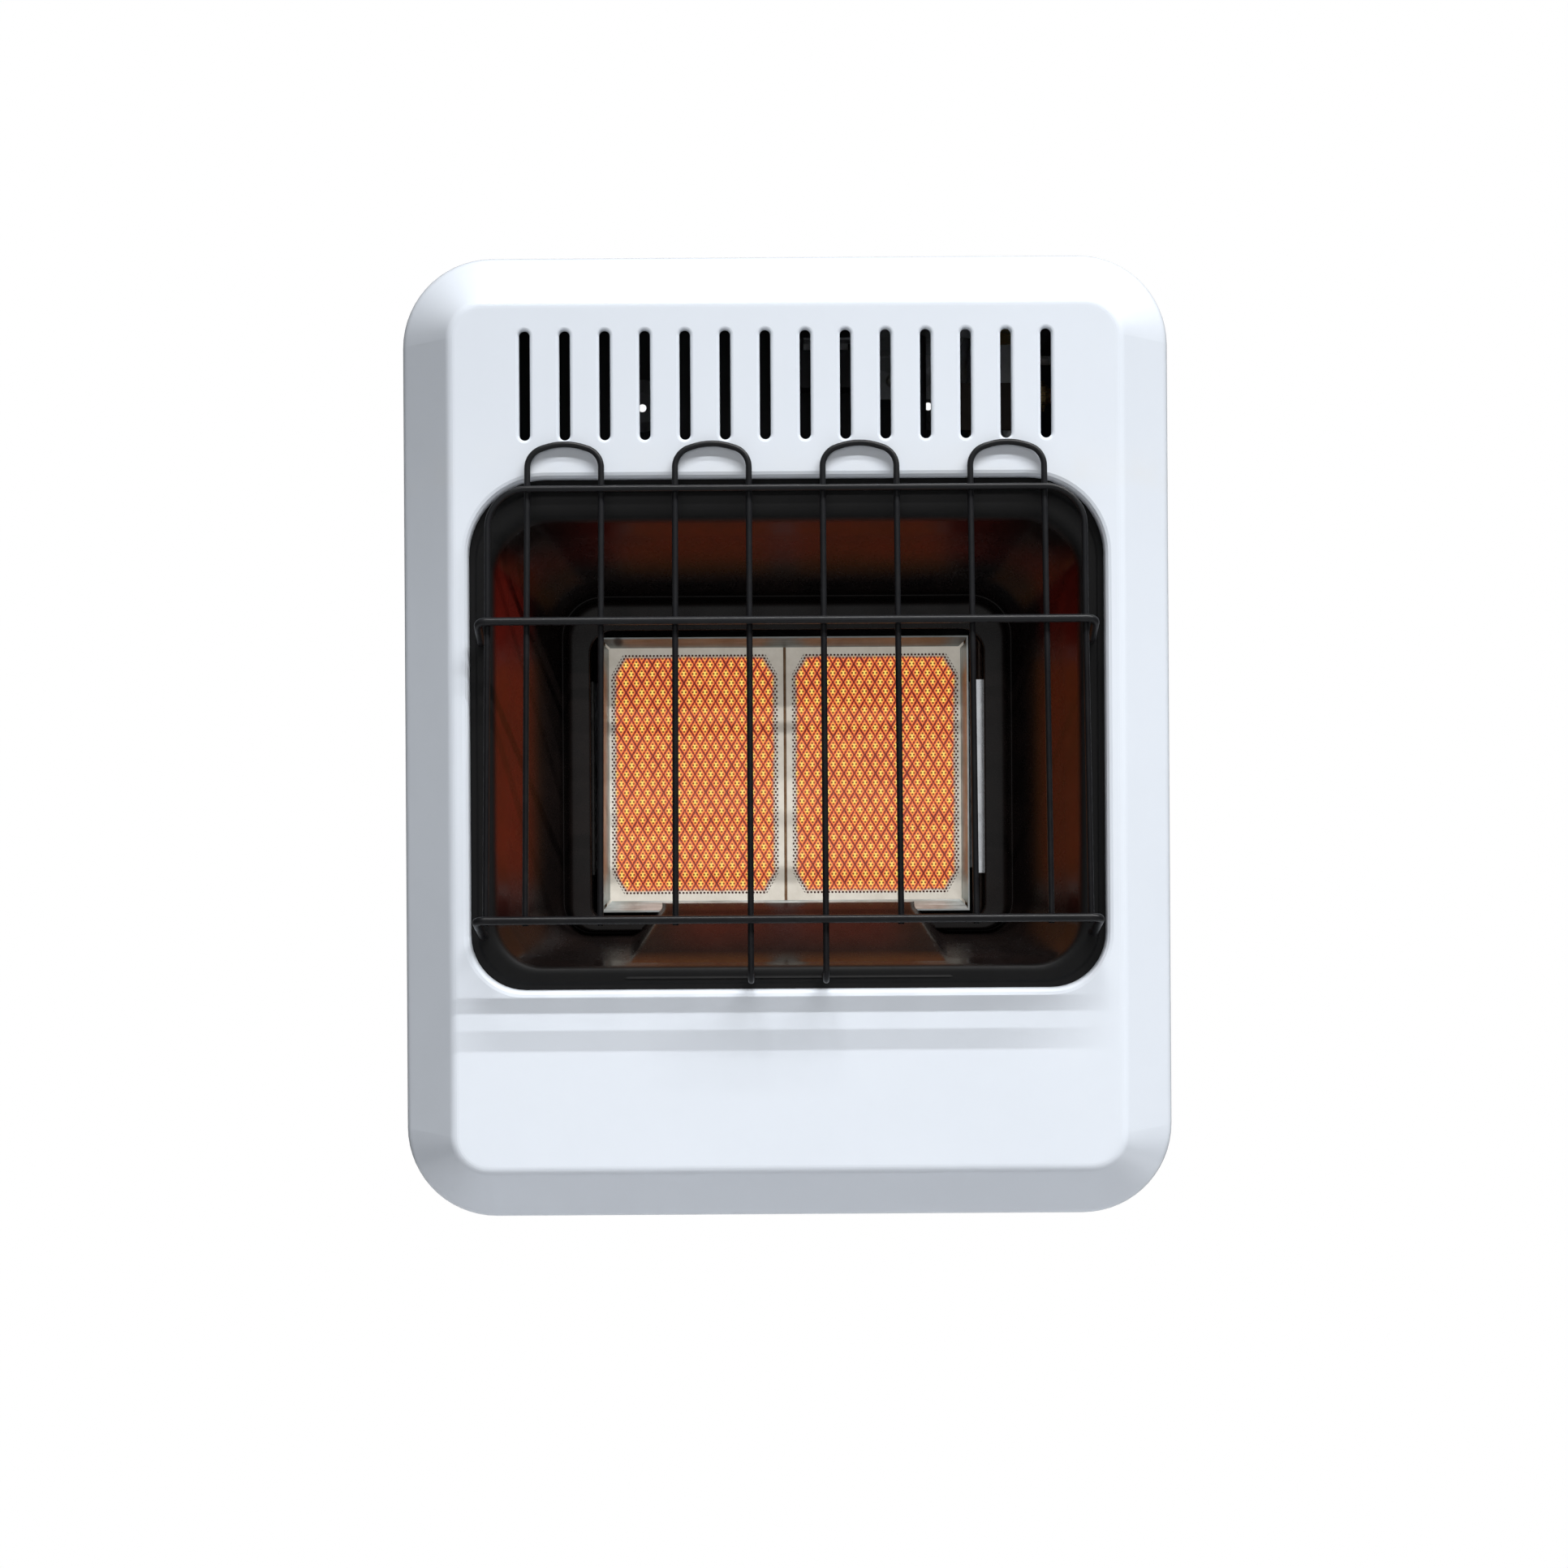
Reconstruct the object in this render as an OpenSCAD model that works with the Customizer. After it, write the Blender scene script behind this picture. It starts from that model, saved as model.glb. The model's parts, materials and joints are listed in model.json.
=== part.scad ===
// Wall mounted gas heater: pressed cover, firebox pan, wire guard, two ceramic plaques and the gas train.
// Millimetres. X to the right, Y towards the wall, Z up. The origin lies on the wall, midway between
// the two wall screw holes. The modules are written round the middle of the case and moved there once.

/* [Case] */
// Width of the front cover
case_w = 384; // [376:1:392]
// Height of the front cover
case_h = 481; // [474:1:490]
// Distance from the wall to the front face
case_d = 168; // [165:0.5:172]
// Corner radius of the cover's outline
case_r = 45; // [40:1:48]
// Width of the bevel round the front face
bevel_w = 27.5; // [22:0.5:30]
// Depth of the bevel round the front face
bevel_d = 28; // [22:0.5:32]
// Thickness of the cover sheet
sheet = 1.2; // [1:0.1:1.4]

/* [Slots] */
// Number of upright slots
slots = 14; // [10:1:14]
// Distance between neighbouring slots
slot_pitch = 19.64; // [16:0.1:20.5]
// Length of a slot
slot_len = 53.6; // [40:0.5:56]
// Width of a slot
slot_w = 5.2; // [4:0.1:7]
// Height of the slots' middle above the case's middle
slot_up = 172; // [170:0.5:176]

/* [Window] */
// Width of the opening in the cover
window_w = 312; // [306:1:316]
// Height of the opening in the cover
window_h = 250.8; // [247:0.2:253]
// Height of the opening's middle above the case's middle
window_up = 1; // [-1:0.5:3]
// Radius of the opening's top corners
window_top_r = 38; // [34:1:42]
// Radius of the opening's bottom corners
window_low_r = 27; // [24:1:32]

/* [Firebox] */
// Distance from the front face back to the bezel flange
bezel_set = 7; // [6:0.5:8]
// Depth of the pan behind the bezel flange
pan_d = 53; // [51:0.5:55]
// Thickness of the pan sheet
pan_t = 0.9; // [0.8:0.1:1]
// Half width of the opening round the burner
collar_x = 101; // [100:0.5:102]
// Height of the collar above the pan's back wall
collar_up = 6; // [4:0.5:7]

/* [Burner] */
// Width of one ceramic plaque
plaque_w = 92; // [91:0.1:92.5]
// Height of one ceramic plaque
plaque_h = 138; // [136.5:0.5:138.5]
// Thickness of one ceramic plaque
plaque_t = 13; // [12:0.5:14]
// Depth of the diamond grooves
groove_d = 0.8; // [0.4:0.1:1.2]
// Diamonds across a plaque
diamonds_x = 15; // [11:1:16]
// Diamonds up a plaque
diamonds_z = 13; // [9:1:14]
// Depth of the gas chamber behind the plaques
plenum_d = 34; // [34:0.5:37]

/* [Guard] */
// Thickness of the upright wires
wire_d = 3; // [2.6:0.1:3.2]
// Thickness of the two cross bars
bar_d = 4; // [3.6:0.1:4.4]
// Distance between neighbouring upright wires
wire_pitch = 36; // [35:0.5:36.5]
// Lean of the guard: how far it comes forward for each millimetre down
guard_lean = 0.0895; // [0.085:0.0005:0.095]

/* [Controls] */
// Distance of the gas knob's axis to the right of the middle
knob_x = 112; // [111:0.5:114]
// Diameter of the gas knob
knob_d = 36; // [30:1:38]
// Travel of the gas knob when it is pressed
knob_travel = 4; // [3:0.5:4.5]
// Distance of the igniter button's axis to the right of the middle
igniter_x = 66; // [64:0.5:68]
// Diameter of the igniter button
button_d = 14.8; // [13:0.2:16]
// Travel of the igniter button
button_travel = 6; // [4:0.5:6.5]

/* [Wall mount] */
// Distance between the two wall screw holes
hole_pitch = 161; // [120:1:170]
// Height of the wall screw holes above the case's middle
hole_up = 185; // [180:1:190]
// Diameter of the wall screw holes
hole_d = 4.5; // [4:0.1:5.5]
// Distance that the back panel stands off the wall
stand_off = 8; // [6:0.5:10]

/* [Hidden] */
$fn = 48;

// Clearances
seat = 0.05;        // between two pieces fixed to each other
slide_fit = 0.06;   // radial, round a moving shaft
screw_fit = 0.08;   // radial, round a screw
apart = 0.3;        // between pieces that only come close
eps = 0.01;
elbow_less = 0.02;  // how much thinner a rod is in its bends

// Case
front_y = -case_d;
half_w = case_w / 2;
half_h = case_h / 2;
cover_back_y = -3;
bend_in_r = 7;
bend_out_r = 10;
roll_r = 1.6;
slot_rim = 3;
window_roll = 3;
window_top = window_up + window_h / 2;
window_low = window_up - window_h / 2;
bezel_y = front_y + bezel_set;
window_rim_y = bezel_y - apart;
ledge_y = -18;          // line of the cover screws
cover_screw_in = [42, 92];      // of the cover screws, from the case's left and right sides
cover_screw_x = [cover_screw_in[0] - half_w, half_w - cover_screw_in[1]];
inlet_slots = 9;
inlet_slot_pitch = 22;
inlet_slot_y = -88;
inlet_slot_w = 6;
inlet_slot_len = 30;
notch_w = 36;
notch_h = 10;
notch_y = -96;

// Back panel
panel_t = 1;
panel_x = half_w - sheet - 0.4;
panel_z = half_h - sheet - 0.4;
panel_r = case_r - sheet - 0.4;
panel_y = -stand_off - panel_t;      // its front surface
panel_flange = 24;
pad_r = 9;
pad_foot_r = 15;
pad_cut_r = 17;         // where the plate ends and a pad begins

// Firebox
back_y = bezel_y + pan_d;            // front surface of the pan's back wall
flange_over = 6;
bead_x = window_w / 2 - 3;           // half widths of the bead, the wall's front and the wall's foot
wall_x = window_w / 2 - 10.5;
foot_x = collar_x + 15.5;
rim_x = foot_x - 5.3;                // outer edge of the collar's step
ramp_top_z = window_low + 38.4;
ramp_low_z = window_low + 15.9;
ramp_r = 2.5;
support_in = 22;                     // from the case's side to a bracket's web
support_x = half_w - support_in;
support_h = 170;
support_t = 1;
support_hole_z = 60;
shield_over = 11.6;                  // above the opening
shield_z = window_top + shield_over;
shield_left = 6 - window_w / 2;
shield_right = 96;
shield_hole_x = [-100, 50];
shield_front = -150;
shield_t = 0.8;

// Burner
burner_x = -1.2;
burner_under = 20.7;                 // the burner's middle below the opening's
burner_z = window_up - burner_under;
mouth_top = burner_z + 76.7;         // edges of the collar's opening
mouth_low = burner_z - 74.8;
face_y = back_y + 5;                 // front surface of the plaques
seam = 1.5;
rim_gap = 1.05;
frame_t = 0.8;
frame_x = plaque_w + seam / 2 + rim_gap + frame_t;
frame_z = plaque_h / 2 + rim_gap + frame_t - 0.1;
frame_front = face_y - 6;
frame_back = face_y + plaque_t + 4;
flap_x = 91.7;
flap_z = 66.2;
box_t = 1;
box_front = face_y + plaque_t + seat;
box_back = box_front + plenum_d;
box_x = frame_x - frame_t - seat;
box_z = frame_z - frame_t - seat;
box_low = burner_z - box_z;
tube_y = box_back - 15;              // axis of the mixing tube
tube_r = 11.5;
tube_wall = 0.9;
tube_flange_r = 14;
holder_up = 16.5;                    // the injector's axis above the case's underside
holder_z = holder_up - half_h;
mouth_z = holder_z + 16;
mouth_r = 15;
throat_z = mouth_z + 18;
throat_r = 8;
bracket_t = 1;
strip_z = burner_z - 51.8;
strip_h = 100;
strip_x = 96.9;
box_screw_x = box_x - 8;
box_screw_z = [strip_z + strip_h / 2 - 30, strip_z + strip_h / 2 + 30];

// Pilot group
pilot_x = 36;
couple_x = 50;
spark_x = 22;
pilot_y = -112;
pilot_z = box_low - 14.4;            // underside of the pilot bracket's plate
pilot_r = 4;
couple_r = 3.2;
spark_r = 3.2;
lead_z = pilot_z - 28;
pilot_run_z = pilot_z - 41;
cable_run_z = pilot_run_z - 6;
pilot_t = 1;                         // sheet of the pilot bracket
pilot_screw_x = [pilot_x - 16, pilot_x + 16];
pilot_screw_y = -75;

// Guard
wire_r = wire_d / 2;
bar_r = bar_d / 2;
guard_low_z = window_low + 36.9;
guard_mid_z = window_top - 70.4;
guard_top_z = window_top - 5.7;
arch_top_z = window_top + 18.1;
arch_side_z = arch_top_z - 6;
arch_y = front_y - apart - wire_r;   // the arches rest on the cover
bar_x = window_w / 2 - 6.5;
side_x = bar_x - 4.5;
hook_z = window_low + 6.9;
bezel_hole = 0.6;
bar_gap = wire_r + bar_r + seat;
bar_hole_z = [guard_mid_z - 9.4, guard_low_z - 9.7];

// Controls
tray_floor = half_h - 26.5;          // top of the tray's floor
tray_t = 1;
tray_rim_top = half_h - sheet - seat;
tray_x0 = igniter_x - 22;
tray_x1 = knob_x + 29;
tray_y0 = -112;
tray_y1 = -40;
tray_rim = 6;
tray_r = 8;
spindle_r = 4;
bonnet_r = 8;
plunger_collar_r = 5.8;
plunger_rod_r = 2.5;
valve_floor = 2.5;                   // metal under the plunger spring
collar_low = 24;                     // height of the plunger's collar in the valve
collar_h = 2;
knob_low = tray_floor + 5;
shelf_t = 1.2;
shelf_z = tray_floor - tray_t - seat - shelf_t;
shelf_screw_x = [igniter_x - 6, knob_x + 14];
igniter_low = shelf_z - 61.75;
knob_h = 18;
knob_recess = 4;
neck_r = 8;
neck_top = tray_floor + 5;
stem_r = 3;
button_h = 5.5;
button_low = neck_top + button_travel + 0.5;
spring_well_r = 6.3;
spring_well = 12;

// Gas train
valve_y = -70;
valve_top = shelf_z - 6.75;
valve_h = 37;
valve_low = valve_top - valve_h;
valve_half_x = 14;
valve_half_y = 14;
main_x = knob_x - 9.5;               // axes of the three connections under the valve
pilot_out_x = knob_x + 9;
pilot_out_y = valve_y + 8.5;
magnet_x = knob_x + 7;
magnet_y = valve_y - 7;
magnet_r = 6.5;
magnet_low = valve_low - 16;
nut_h = 10;
valve_right = knob_x + valve_half_x;
nipple_z = valve_top - 6;
nipple_r = 2.4;
cutout_x = 22;
cutout_y = -52;
cutout_w = 34;
cutout_h = 20;
main_r = 3;
pilot_tube_r = 2;
inlet_r = 4;
inlet_in = 40;                       // from the case's right side
inlet_x = half_w - inlet_in;
inlet_z = valve_low + 12;
bore_wall = 0.8;
holder_half = 8;
regulator_up = 40.5;                 // above the case's underside
regulator_z = regulator_up - half_h;
regulator_r = 23;
regulator_half = 10;
regulator_boss = 32;
regulator_screw_z = [regulator_z - 8, regulator_z + 8];
regulator_screw_in = 7;
fitting_low = 3;                     // height of the inlet's mouth above the case's underside
inlet_bore_r = 7.9;
inlet_bore_l = 12;

// Screws
screw_r = 1.9;
screw_head_r = 3.7;
screw_head_h = 2.2;

// Where screws go into the back panel: x, z and the thickness of the sheet that each one holds
panel_screw_points = [
    for (x = [-1, 1], z = [-1, 1]) [x * (support_x + 8), z * support_hole_z, support_t],
    for (x = shield_hole_x) [x, shield_z + 8, shield_t],
    for (x = shelf_screw_x) [x, shelf_z - 14, shelf_t],
    for (z = regulator_screw_z) [inlet_x + 20, z, shelf_t],
];

// ---------- plane geometry ----------

function unit(v) = v / norm(v);

// Points of the arc of radius r that replaces corner b of the path a, b, c
function corner_arc(a, b, c, r, n) =
    let (u = unit(a - b), v = unit(c - b), half = acos(u * v) / 2)
    let (m = b + unit(u + v) * r / sin(half), s = b + u * r / tan(half) - m, e = b + v * r / tan(half) - m)
    let (way = sign(s[0] * e[1] - s[1] * e[0]), turn = 180 - 2 * half)
    [for (i = [0:n]) let (q = way * turn * i / n)
        m + [s[0] * cos(q) - s[1] * sin(q), s[0] * sin(q) + s[1] * cos(q)]];

// A path with its inner corners rounded by radii
function rounded(path, radii, n) = [
    for (i = [0:len(path) - 1])
        each i == 0 || i == len(path) - 1 || radii[i - 1] < eps
            ? [path[i]]
            : corner_arc(path[i - 1], path[i], path[i + 1], radii[i - 1], n)
];

function normal(a, b) = let (d = unit(b - a)) [-d[1], d[0]];

// A path moved sideways by t, to its left when t is positive
function beside(path, t) = [
    for (i = [0:len(path) - 1])
        i == 0 ? path[0] + normal(path[0], path[1]) * t
        : i == len(path) - 1 ? path[i] + normal(path[i - 1], path[i]) * t
        : let (n1 = normal(path[i - 1], path[i]), n2 = normal(path[i], path[i + 1]))
            path[i] + (n1 + n2) * t / (1 + n1 * n2)
];

function reversed(list) = [for (i = [len(list) - 1:-1:0]) list[i]];

// Outline of a bent sheet: the path is one face and the other lies t to its left
function bent_sheet(path, radii, t, n = 4) =
    let (turns = [for (i = [1:len(path) - 2]) cross2(path[i] - path[i - 1], path[i + 1] - path[i])])
    let (inner = [for (i = [0:len(radii) - 1]) max(0, radii[i] - t * sign(turns[i]))])
    concat(rounded(path, radii, n), reversed(rounded(beside(path, t), inner, n)));

function cross2(a, b) = a[0] * b[1] - a[1] * b[0];

// A value read off a rising list of [key, value] pairs
function between(x, pairs, i = 0) =
    i >= len(pairs) - 2 || x < pairs[i + 1][0]
        ? pairs[i][1] + (x - pairs[i][0]) * (pairs[i + 1][1] - pairs[i][1]) / (pairs[i + 1][0] - pairs[i][0])
        : between(x, pairs, i + 1);

// ---------- shared shapes ----------

module along_y() {
    rotate([-90, 0, 0]) children();
}

// Sweeps a profile round a frame with rounded corners. The profile's X points away from the frame's
// middle, with 0 on the frame line, and its Y is the model's Y.
module frame_sweep(x, top, low, top_r, low_r) {
    for (side = [0, 1]) mirror([side, 0, 0]) {
        translate([x - top_r, 0, top - top_r]) along_y() rotate(-90)
            rotate_extrude(angle = 90) translate([top_r, 0]) children();
        translate([x - low_r, 0, low + low_r]) along_y()
            rotate_extrude(angle = 90) translate([low_r, 0]) children();
        if (top - low - top_r - low_r > eps)
            translate([x, 0, low + low_r]) linear_extrude(top - low - top_r - low_r) children();
    }
    if (x - top_r > eps)
        translate([x - top_r, 0, top]) rotate([0, -90, 0]) linear_extrude(2 * (x - top_r)) children();
    if (x - low_r > eps)
        translate([low_r - x, 0, low]) rotate([0, 90, 0]) linear_extrude(2 * (x - low_r)) children();
}

// A plate with rounded corners, from y0 to y1
module round_plate(x, top, low, top_r, low_r, y0, y1) {
    translate([0, y0, 0]) along_y() linear_extrude(y1 - y0) union() {
        for (side = [-1, 1]) {
            translate([side * (x - top_r), top_r - top]) circle(top_r);
            translate([side * (x - low_r), -low - low_r]) circle(low_r);
        }
        translate([-x, top_r - top]) square([2 * x, top - low - top_r - low_r]);
        translate([top_r - x, -top]) square([2 * (x - top_r), top_r]);
        translate([low_r - x, -low - low_r]) square([2 * (x - low_r), low_r]);
    }
}

// An edge rolled inwards round a hole, as a profile for frame_sweep
module rolled_edge(roll, depth) {
    path = [[roll, front_y], [0, front_y], [0, front_y + depth]];
    polygon(bent_sheet(path, [roll - eps], -sheet, 3));
}

// Stands a unit Z along the direction d, at p
module aimed(p, d) {
    z = unit(d);
    x = unit(abs(z[2]) > 0.9 ? cross([0, 1, 0], z) : cross([0, 0, 1], z));
    y = cross(z, x);
    multmatrix([
        [x[0], y[0], z[0], p[0]],
        [x[1], y[1], z[1], p[1]],
        [x[2], y[2], z[2], p[2]],
        [0, 0, 0, 1],
    ]) children();
}

// A bend at b between two straight runs. It is a hair thinner than they are and reaches a hair into them.
module elbow(a, b, c, r, bend) {
    lap = 3 / bend;
    u = unit(a - b);
    v = unit(c - b);
    half = acos(u * v) / 2;
    m = b + unit(u + v) * bend / sin(half);
    x = unit(b + u * bend / tan(half) - m);
    z = unit(cross(x, unit(b + v * bend / tan(half) - m)));
    y = cross(z, x);
    multmatrix([
        [x[0], y[0], z[0], m[0]],
        [x[1], y[1], z[1], m[1]],
        [x[2], y[2], z[2], m[2]],
        [0, 0, 0, 1],
    ]) rotate(-lap) rotate_extrude(angle = 180 - 2 * half + 2 * lap)
        translate([bend, 0]) circle(r - elbow_less);
}

function setback(path, bends, i) =
    i == 0 || i == len(path) - 1 ? 0
    : bends[i - 1] / tan(acos(unit(path[i - 1] - path[i]) * unit(path[i + 1] - path[i])) / 2);

// A round rod along a path, with a bend radius for each inner corner
module bent_rod(path, r, bends) {
    for (i = [0:len(path) - 2]) {
        d = unit(path[i + 1] - path[i]);
        from = path[i] + d * setback(path, bends, i);
        to = path[i + 1] - d * setback(path, bends, i + 1);
        aimed(from, d) cylinder(r = r, h = norm(to - from));
    }
    for (i = [1:len(path) - 2]) elbow(path[i - 1], path[i], path[i + 1], r, bends[i - 1]);
}

// The same rod with a bore right through
module bent_tube(path, r, wall, bends) {
    first = path[0];
    last = path[len(path) - 1];
    start = unit(path[1] - first);
    end = unit(path[len(path) - 2] - last);
    difference() {
        bent_rod(path, r, bends);
        bent_rod(path, r - wall, bends);
        aimed(first - eps * start, start) cylinder(r = r - wall, h = 1);
        aimed(last - eps * end, end) cylinder(r = r - wall, h = 1);
    }
}

// A pan head screw with a cross recess, its head on z = 0 and its shank below
module screw(length) {
    recess_w = 1;
    recess_l = 4.2;
    recess_d = 1.2;
    difference() {
        union() {
            cylinder(r = screw_head_r, h = screw_head_h * 0.6);
            translate([0, 0, screw_head_h * 0.6])
                cylinder(r1 = screw_head_r, r2 = screw_head_r * 0.7, h = screw_head_h * 0.4);
            translate([0, 0, -length]) cylinder(r = screw_r, h = length + eps);
            translate([0, 0, -length - screw_r]) cylinder(r1 = 0.4, r2 = screw_r, h = screw_r);
        }
        for (turn = [0, 90]) rotate(turn)
            translate([-recess_l / 2, -recess_w / 2, screw_head_h - recess_d])
                cube([recess_l, recess_w, screw_head_h]);
    }
}

// A six-sided bar, flats apart
module hexagon(flats, h) {
    cylinder(d = flats / cos(30), h = h, $fn = 6);
}

// A six-sided tube nut with a conical shoulder and a bore
module tube_nut(flats, h, bore_r) {
    shoulder = 0.3;
    difference() {
        union() {
            hexagon(flats, h * (1 - shoulder));
            translate([0, 0, h * (1 - shoulder)])
                cylinder(r1 = flats / 2, r2 = bore_r + 1.2, h = h * shoulder);
        }
        translate([0, 0, -eps]) cylinder(r = bore_r, h = h + 2 * eps);
    }
}

// A helical spring of round wire from z = 0 to h, as one closed surface, which shortens by travel
module spring(mean_r, wire, turns, h, travel) {
    rings = 8 * turns;
    sides = 6;
    rise = h - 2 * wire;
    function ring(i) = let (q = 45 * i, z = wire + rise * i / rings) [
        for (k = [0:sides - 1]) let (w = 360 * k / sides, rr = mean_r + wire * cos(w))
            [rr * cos(q), rr * sin(q), z + wire * sin(w)]
    ];
    points = [for (i = [0:rings]) each ring(i)];
    walls = [
        for (i = [0:rings - 1], k = [0:sides - 1])
            let (a = i * sides + k, b = i * sides + (k + 1) % sides)
            each [[a, b, b + sides], [a, b + sides, a + sides]]
    ];
    ends = [[for (k = [sides - 1:-1:0]) k], [for (k = [0:sides - 1]) rings * sides + k]];
    echo(least_spring_gap = (rise - travel) / turns - 2 * wire);
    polyhedron(points, concat([for (f = walls) [f[0], f[2], f[1]]], [for (f = ends) reversed(f)]));
}

module at_case() {
    translate([0, 0, -hole_up]) children();
}

// ---------- case ----------

module cover_wall() {
    path = [[-case_r, front_y], [-bevel_w, front_y], [0, front_y + bevel_d], [0, cover_back_y]];
    polygon(bent_sheet(path, [bend_in_r, bend_out_r], sheet, 5));
}

// Position of slot i
function slot_x(i) = (i - (slots - 1) / 2) * slot_pitch;

module stadium(w, l) {
    for (end = [-1, 1]) translate([0, end * (l - w) / 2]) circle(w / 2);
    square([w, l - w], center = true);
}

module front_cover() {
    core_x = half_w - case_r;
    core_z = half_h - case_r;
    color("white") difference() {
        union() {
            frame_sweep(half_w, half_h, -half_h, case_r, case_r) cover_wall();
            translate([-core_x, front_y, -core_z]) cube([2 * core_x, sheet, 2 * core_z]);
        }
        round_plate(window_w / 2 + window_roll, window_top + window_roll, window_low - window_roll,
            window_top_r + window_roll, window_low_r + window_roll, front_y - 1, front_y + 2 * sheet);
        for (i = [0:slots - 1]) translate([slot_x(i), front_y - 1, slot_up]) along_y()
            linear_extrude(2 * sheet + 1) stadium(slot_w + 2 * roll_r, slot_len + 2 * roll_r);
        translate([0, 0, half_h - 2 * sheet]) linear_extrude(4 * sheet) tray_outline(0, tray_r);
        for (i = [0:inlet_slots - 1])
            translate([(i - (inlet_slots + 1) / 2) * inlet_slot_pitch, inlet_slot_y, -half_h - 1])
                linear_extrude(2 * sheet + 1) stadium(inlet_slot_w, inlet_slot_len);
        translate([inlet_x - notch_w / 2, notch_y, -half_h - 1]) cube([notch_w, -notch_y, notch_h]);
        for (x = cover_screw_x) translate([x, ledge_y, -half_h - 1])
            cylinder(r = screw_r + screw_fit, h = case_h + 2);
    }
    color("white") frame_sweep(window_w / 2, window_top, window_low, window_top_r, window_low_r)
        rolled_edge(window_roll, window_rim_y - front_y);
    color("white") for (i = [0:slots - 1]) translate([slot_x(i), 0, slot_up])
        frame_sweep(slot_w / 2, slot_len / 2, -slot_len / 2, slot_w / 2, slot_w / 2)
            rolled_edge(roll_r, slot_rim);
}

// ---------- back panel and supports ----------

module panel_wall() {
    path = [[-panel_r, -stand_off], [0, -stand_off], [0, -stand_off - panel_flange]];
    polygon(bent_sheet(path, [3], -panel_t));
}

// A pressed pad that stands the panel off the wall, with a hole of radius r in it
module pad(r) {
    path = [[pad_cut_r + 1, -stand_off], [pad_foot_r, -stand_off], [pad_r, 0], [r, 0]];
    along_y() rotate_extrude() polygon(bent_sheet(path, [1.5, 2.5], panel_t));
}

module back_panel() {
    core_x = panel_x - panel_r;
    core_z = panel_z - panel_r;
    color("dimgray") difference() {
        union() {
            frame_sweep(panel_x, panel_z, -panel_z, panel_r, panel_r) panel_wall();
            translate([-core_x, panel_y, -core_z]) cube([2 * core_x, panel_t, 2 * core_z]);
        }
        for (x = [-1, 1], z = [-1, 1]) translate([x * hole_pitch / 2, panel_y - 1, z * hole_up])
            along_y() cylinder(r = pad_cut_r, h = panel_t + 2);
        for (x = cover_screw_x) translate([x, ledge_y, -half_h])
            cylinder(r = screw_r + screw_fit, h = case_h);
        for (p = panel_screw_points) translate([p[0], panel_y - 1, p[1]])
            along_y() cylinder(r = screw_r + screw_fit, h = panel_t + 2);
    }
    color("dimgray") for (x = [-1, 1]) {
        translate([x * hole_pitch / 2, 0, hole_up]) pad(hole_d / 2);
        translate([x * hole_pitch / 2, 0, -hole_up]) pad(0);
    }
}

module screw_hole(x, z) {
    translate([x, panel_y - 6, z]) along_y() cylinder(r = screw_r + screw_fit, h = 8);
}

module firebox_bracket_right() {
    front = bezel_y + pan_t + seat + support_t;
    back = panel_y - seat;
    path = [[support_x + 15, back], [support_x, back], [support_x, front], [window_w / 2 - 2, front]];
    color("silver") difference() {
        translate([0, 0, -support_h / 2]) linear_extrude(support_h)
            polygon(bent_sheet(path, [2, 2], support_t));
        for (z = [-1, 1]) screw_hole(support_x + 8, z * support_hole_z);
        for (z = [-45, 0, 45]) translate([support_x - 3, (front + back) / 2, z]) rotate([90, 0, 90])
            linear_extrude(6) rotate(90) stadium(26, 100);
    }
}

module firebox_bracket_left() {
    mirror([1, 0, 0]) firebox_bracket_right();
}

module top_heat_shield() {
    back = panel_y - seat;
    path = [[back, shield_z + 15], [back, shield_z], [shield_front, shield_z],
        [shield_front - 6, shield_z - 6]];
    color("silver") difference() {
        translate([shield_left, 0, 0]) rotate([90, 0, 90]) linear_extrude(shield_right - shield_left)
            polygon(bent_sheet(path, [2, 2], -shield_t));
        for (x = shield_hole_x) screw_hole(x, shield_z + 8);
    }
}

// ---------- firebox ----------

// Half width and depth of the pan's face from the flange's edge in to the burner opening
pan_path = [
    [window_w / 2 + flange_over, bezel_y], [bead_x, bezel_y], [bead_x - 0.8, bezel_y - 0.6],
    [wall_x, bezel_y - 0.6], [foot_x, back_y], [rim_x, back_y], [collar_x + 8, back_y - collar_up],
    [collar_x, back_y - collar_up],
    [collar_x, back_y + 4],
];
pan_bends = [0, 0, 6, 4, 1.8, 3, 3];
// The pan's other sizes at the same half widths
pan_top = [[collar_x, mouth_top], [rim_x, mouth_top + 10.5], [foot_x, mouth_top + 16],
    [wall_x, window_top - 18.4], [window_w / 2, window_top],
    [window_w / 2 + flange_over, window_top + flange_over]];
pan_low = [[collar_x, mouth_low], [rim_x, mouth_low - 5], [foot_x, mouth_low - 7],
    [wall_x, window_low + 10.4], [window_w / 2, window_low],
    [window_w / 2 + flange_over, window_low - flange_over]];
pan_top_r = [[collar_x, 12], [rim_x, 18], [foot_x, 22], [wall_x, 27], [window_w / 2, window_top_r],
    [window_w / 2 + flange_over, window_top_r + flange_over]];
pan_low_r = [[collar_x, 8], [rim_x, 12], [foot_x, 16], [wall_x, 24], [window_w / 2, window_low_r],
    [window_w / 2 + flange_over, window_low_r + flange_over]];

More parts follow.
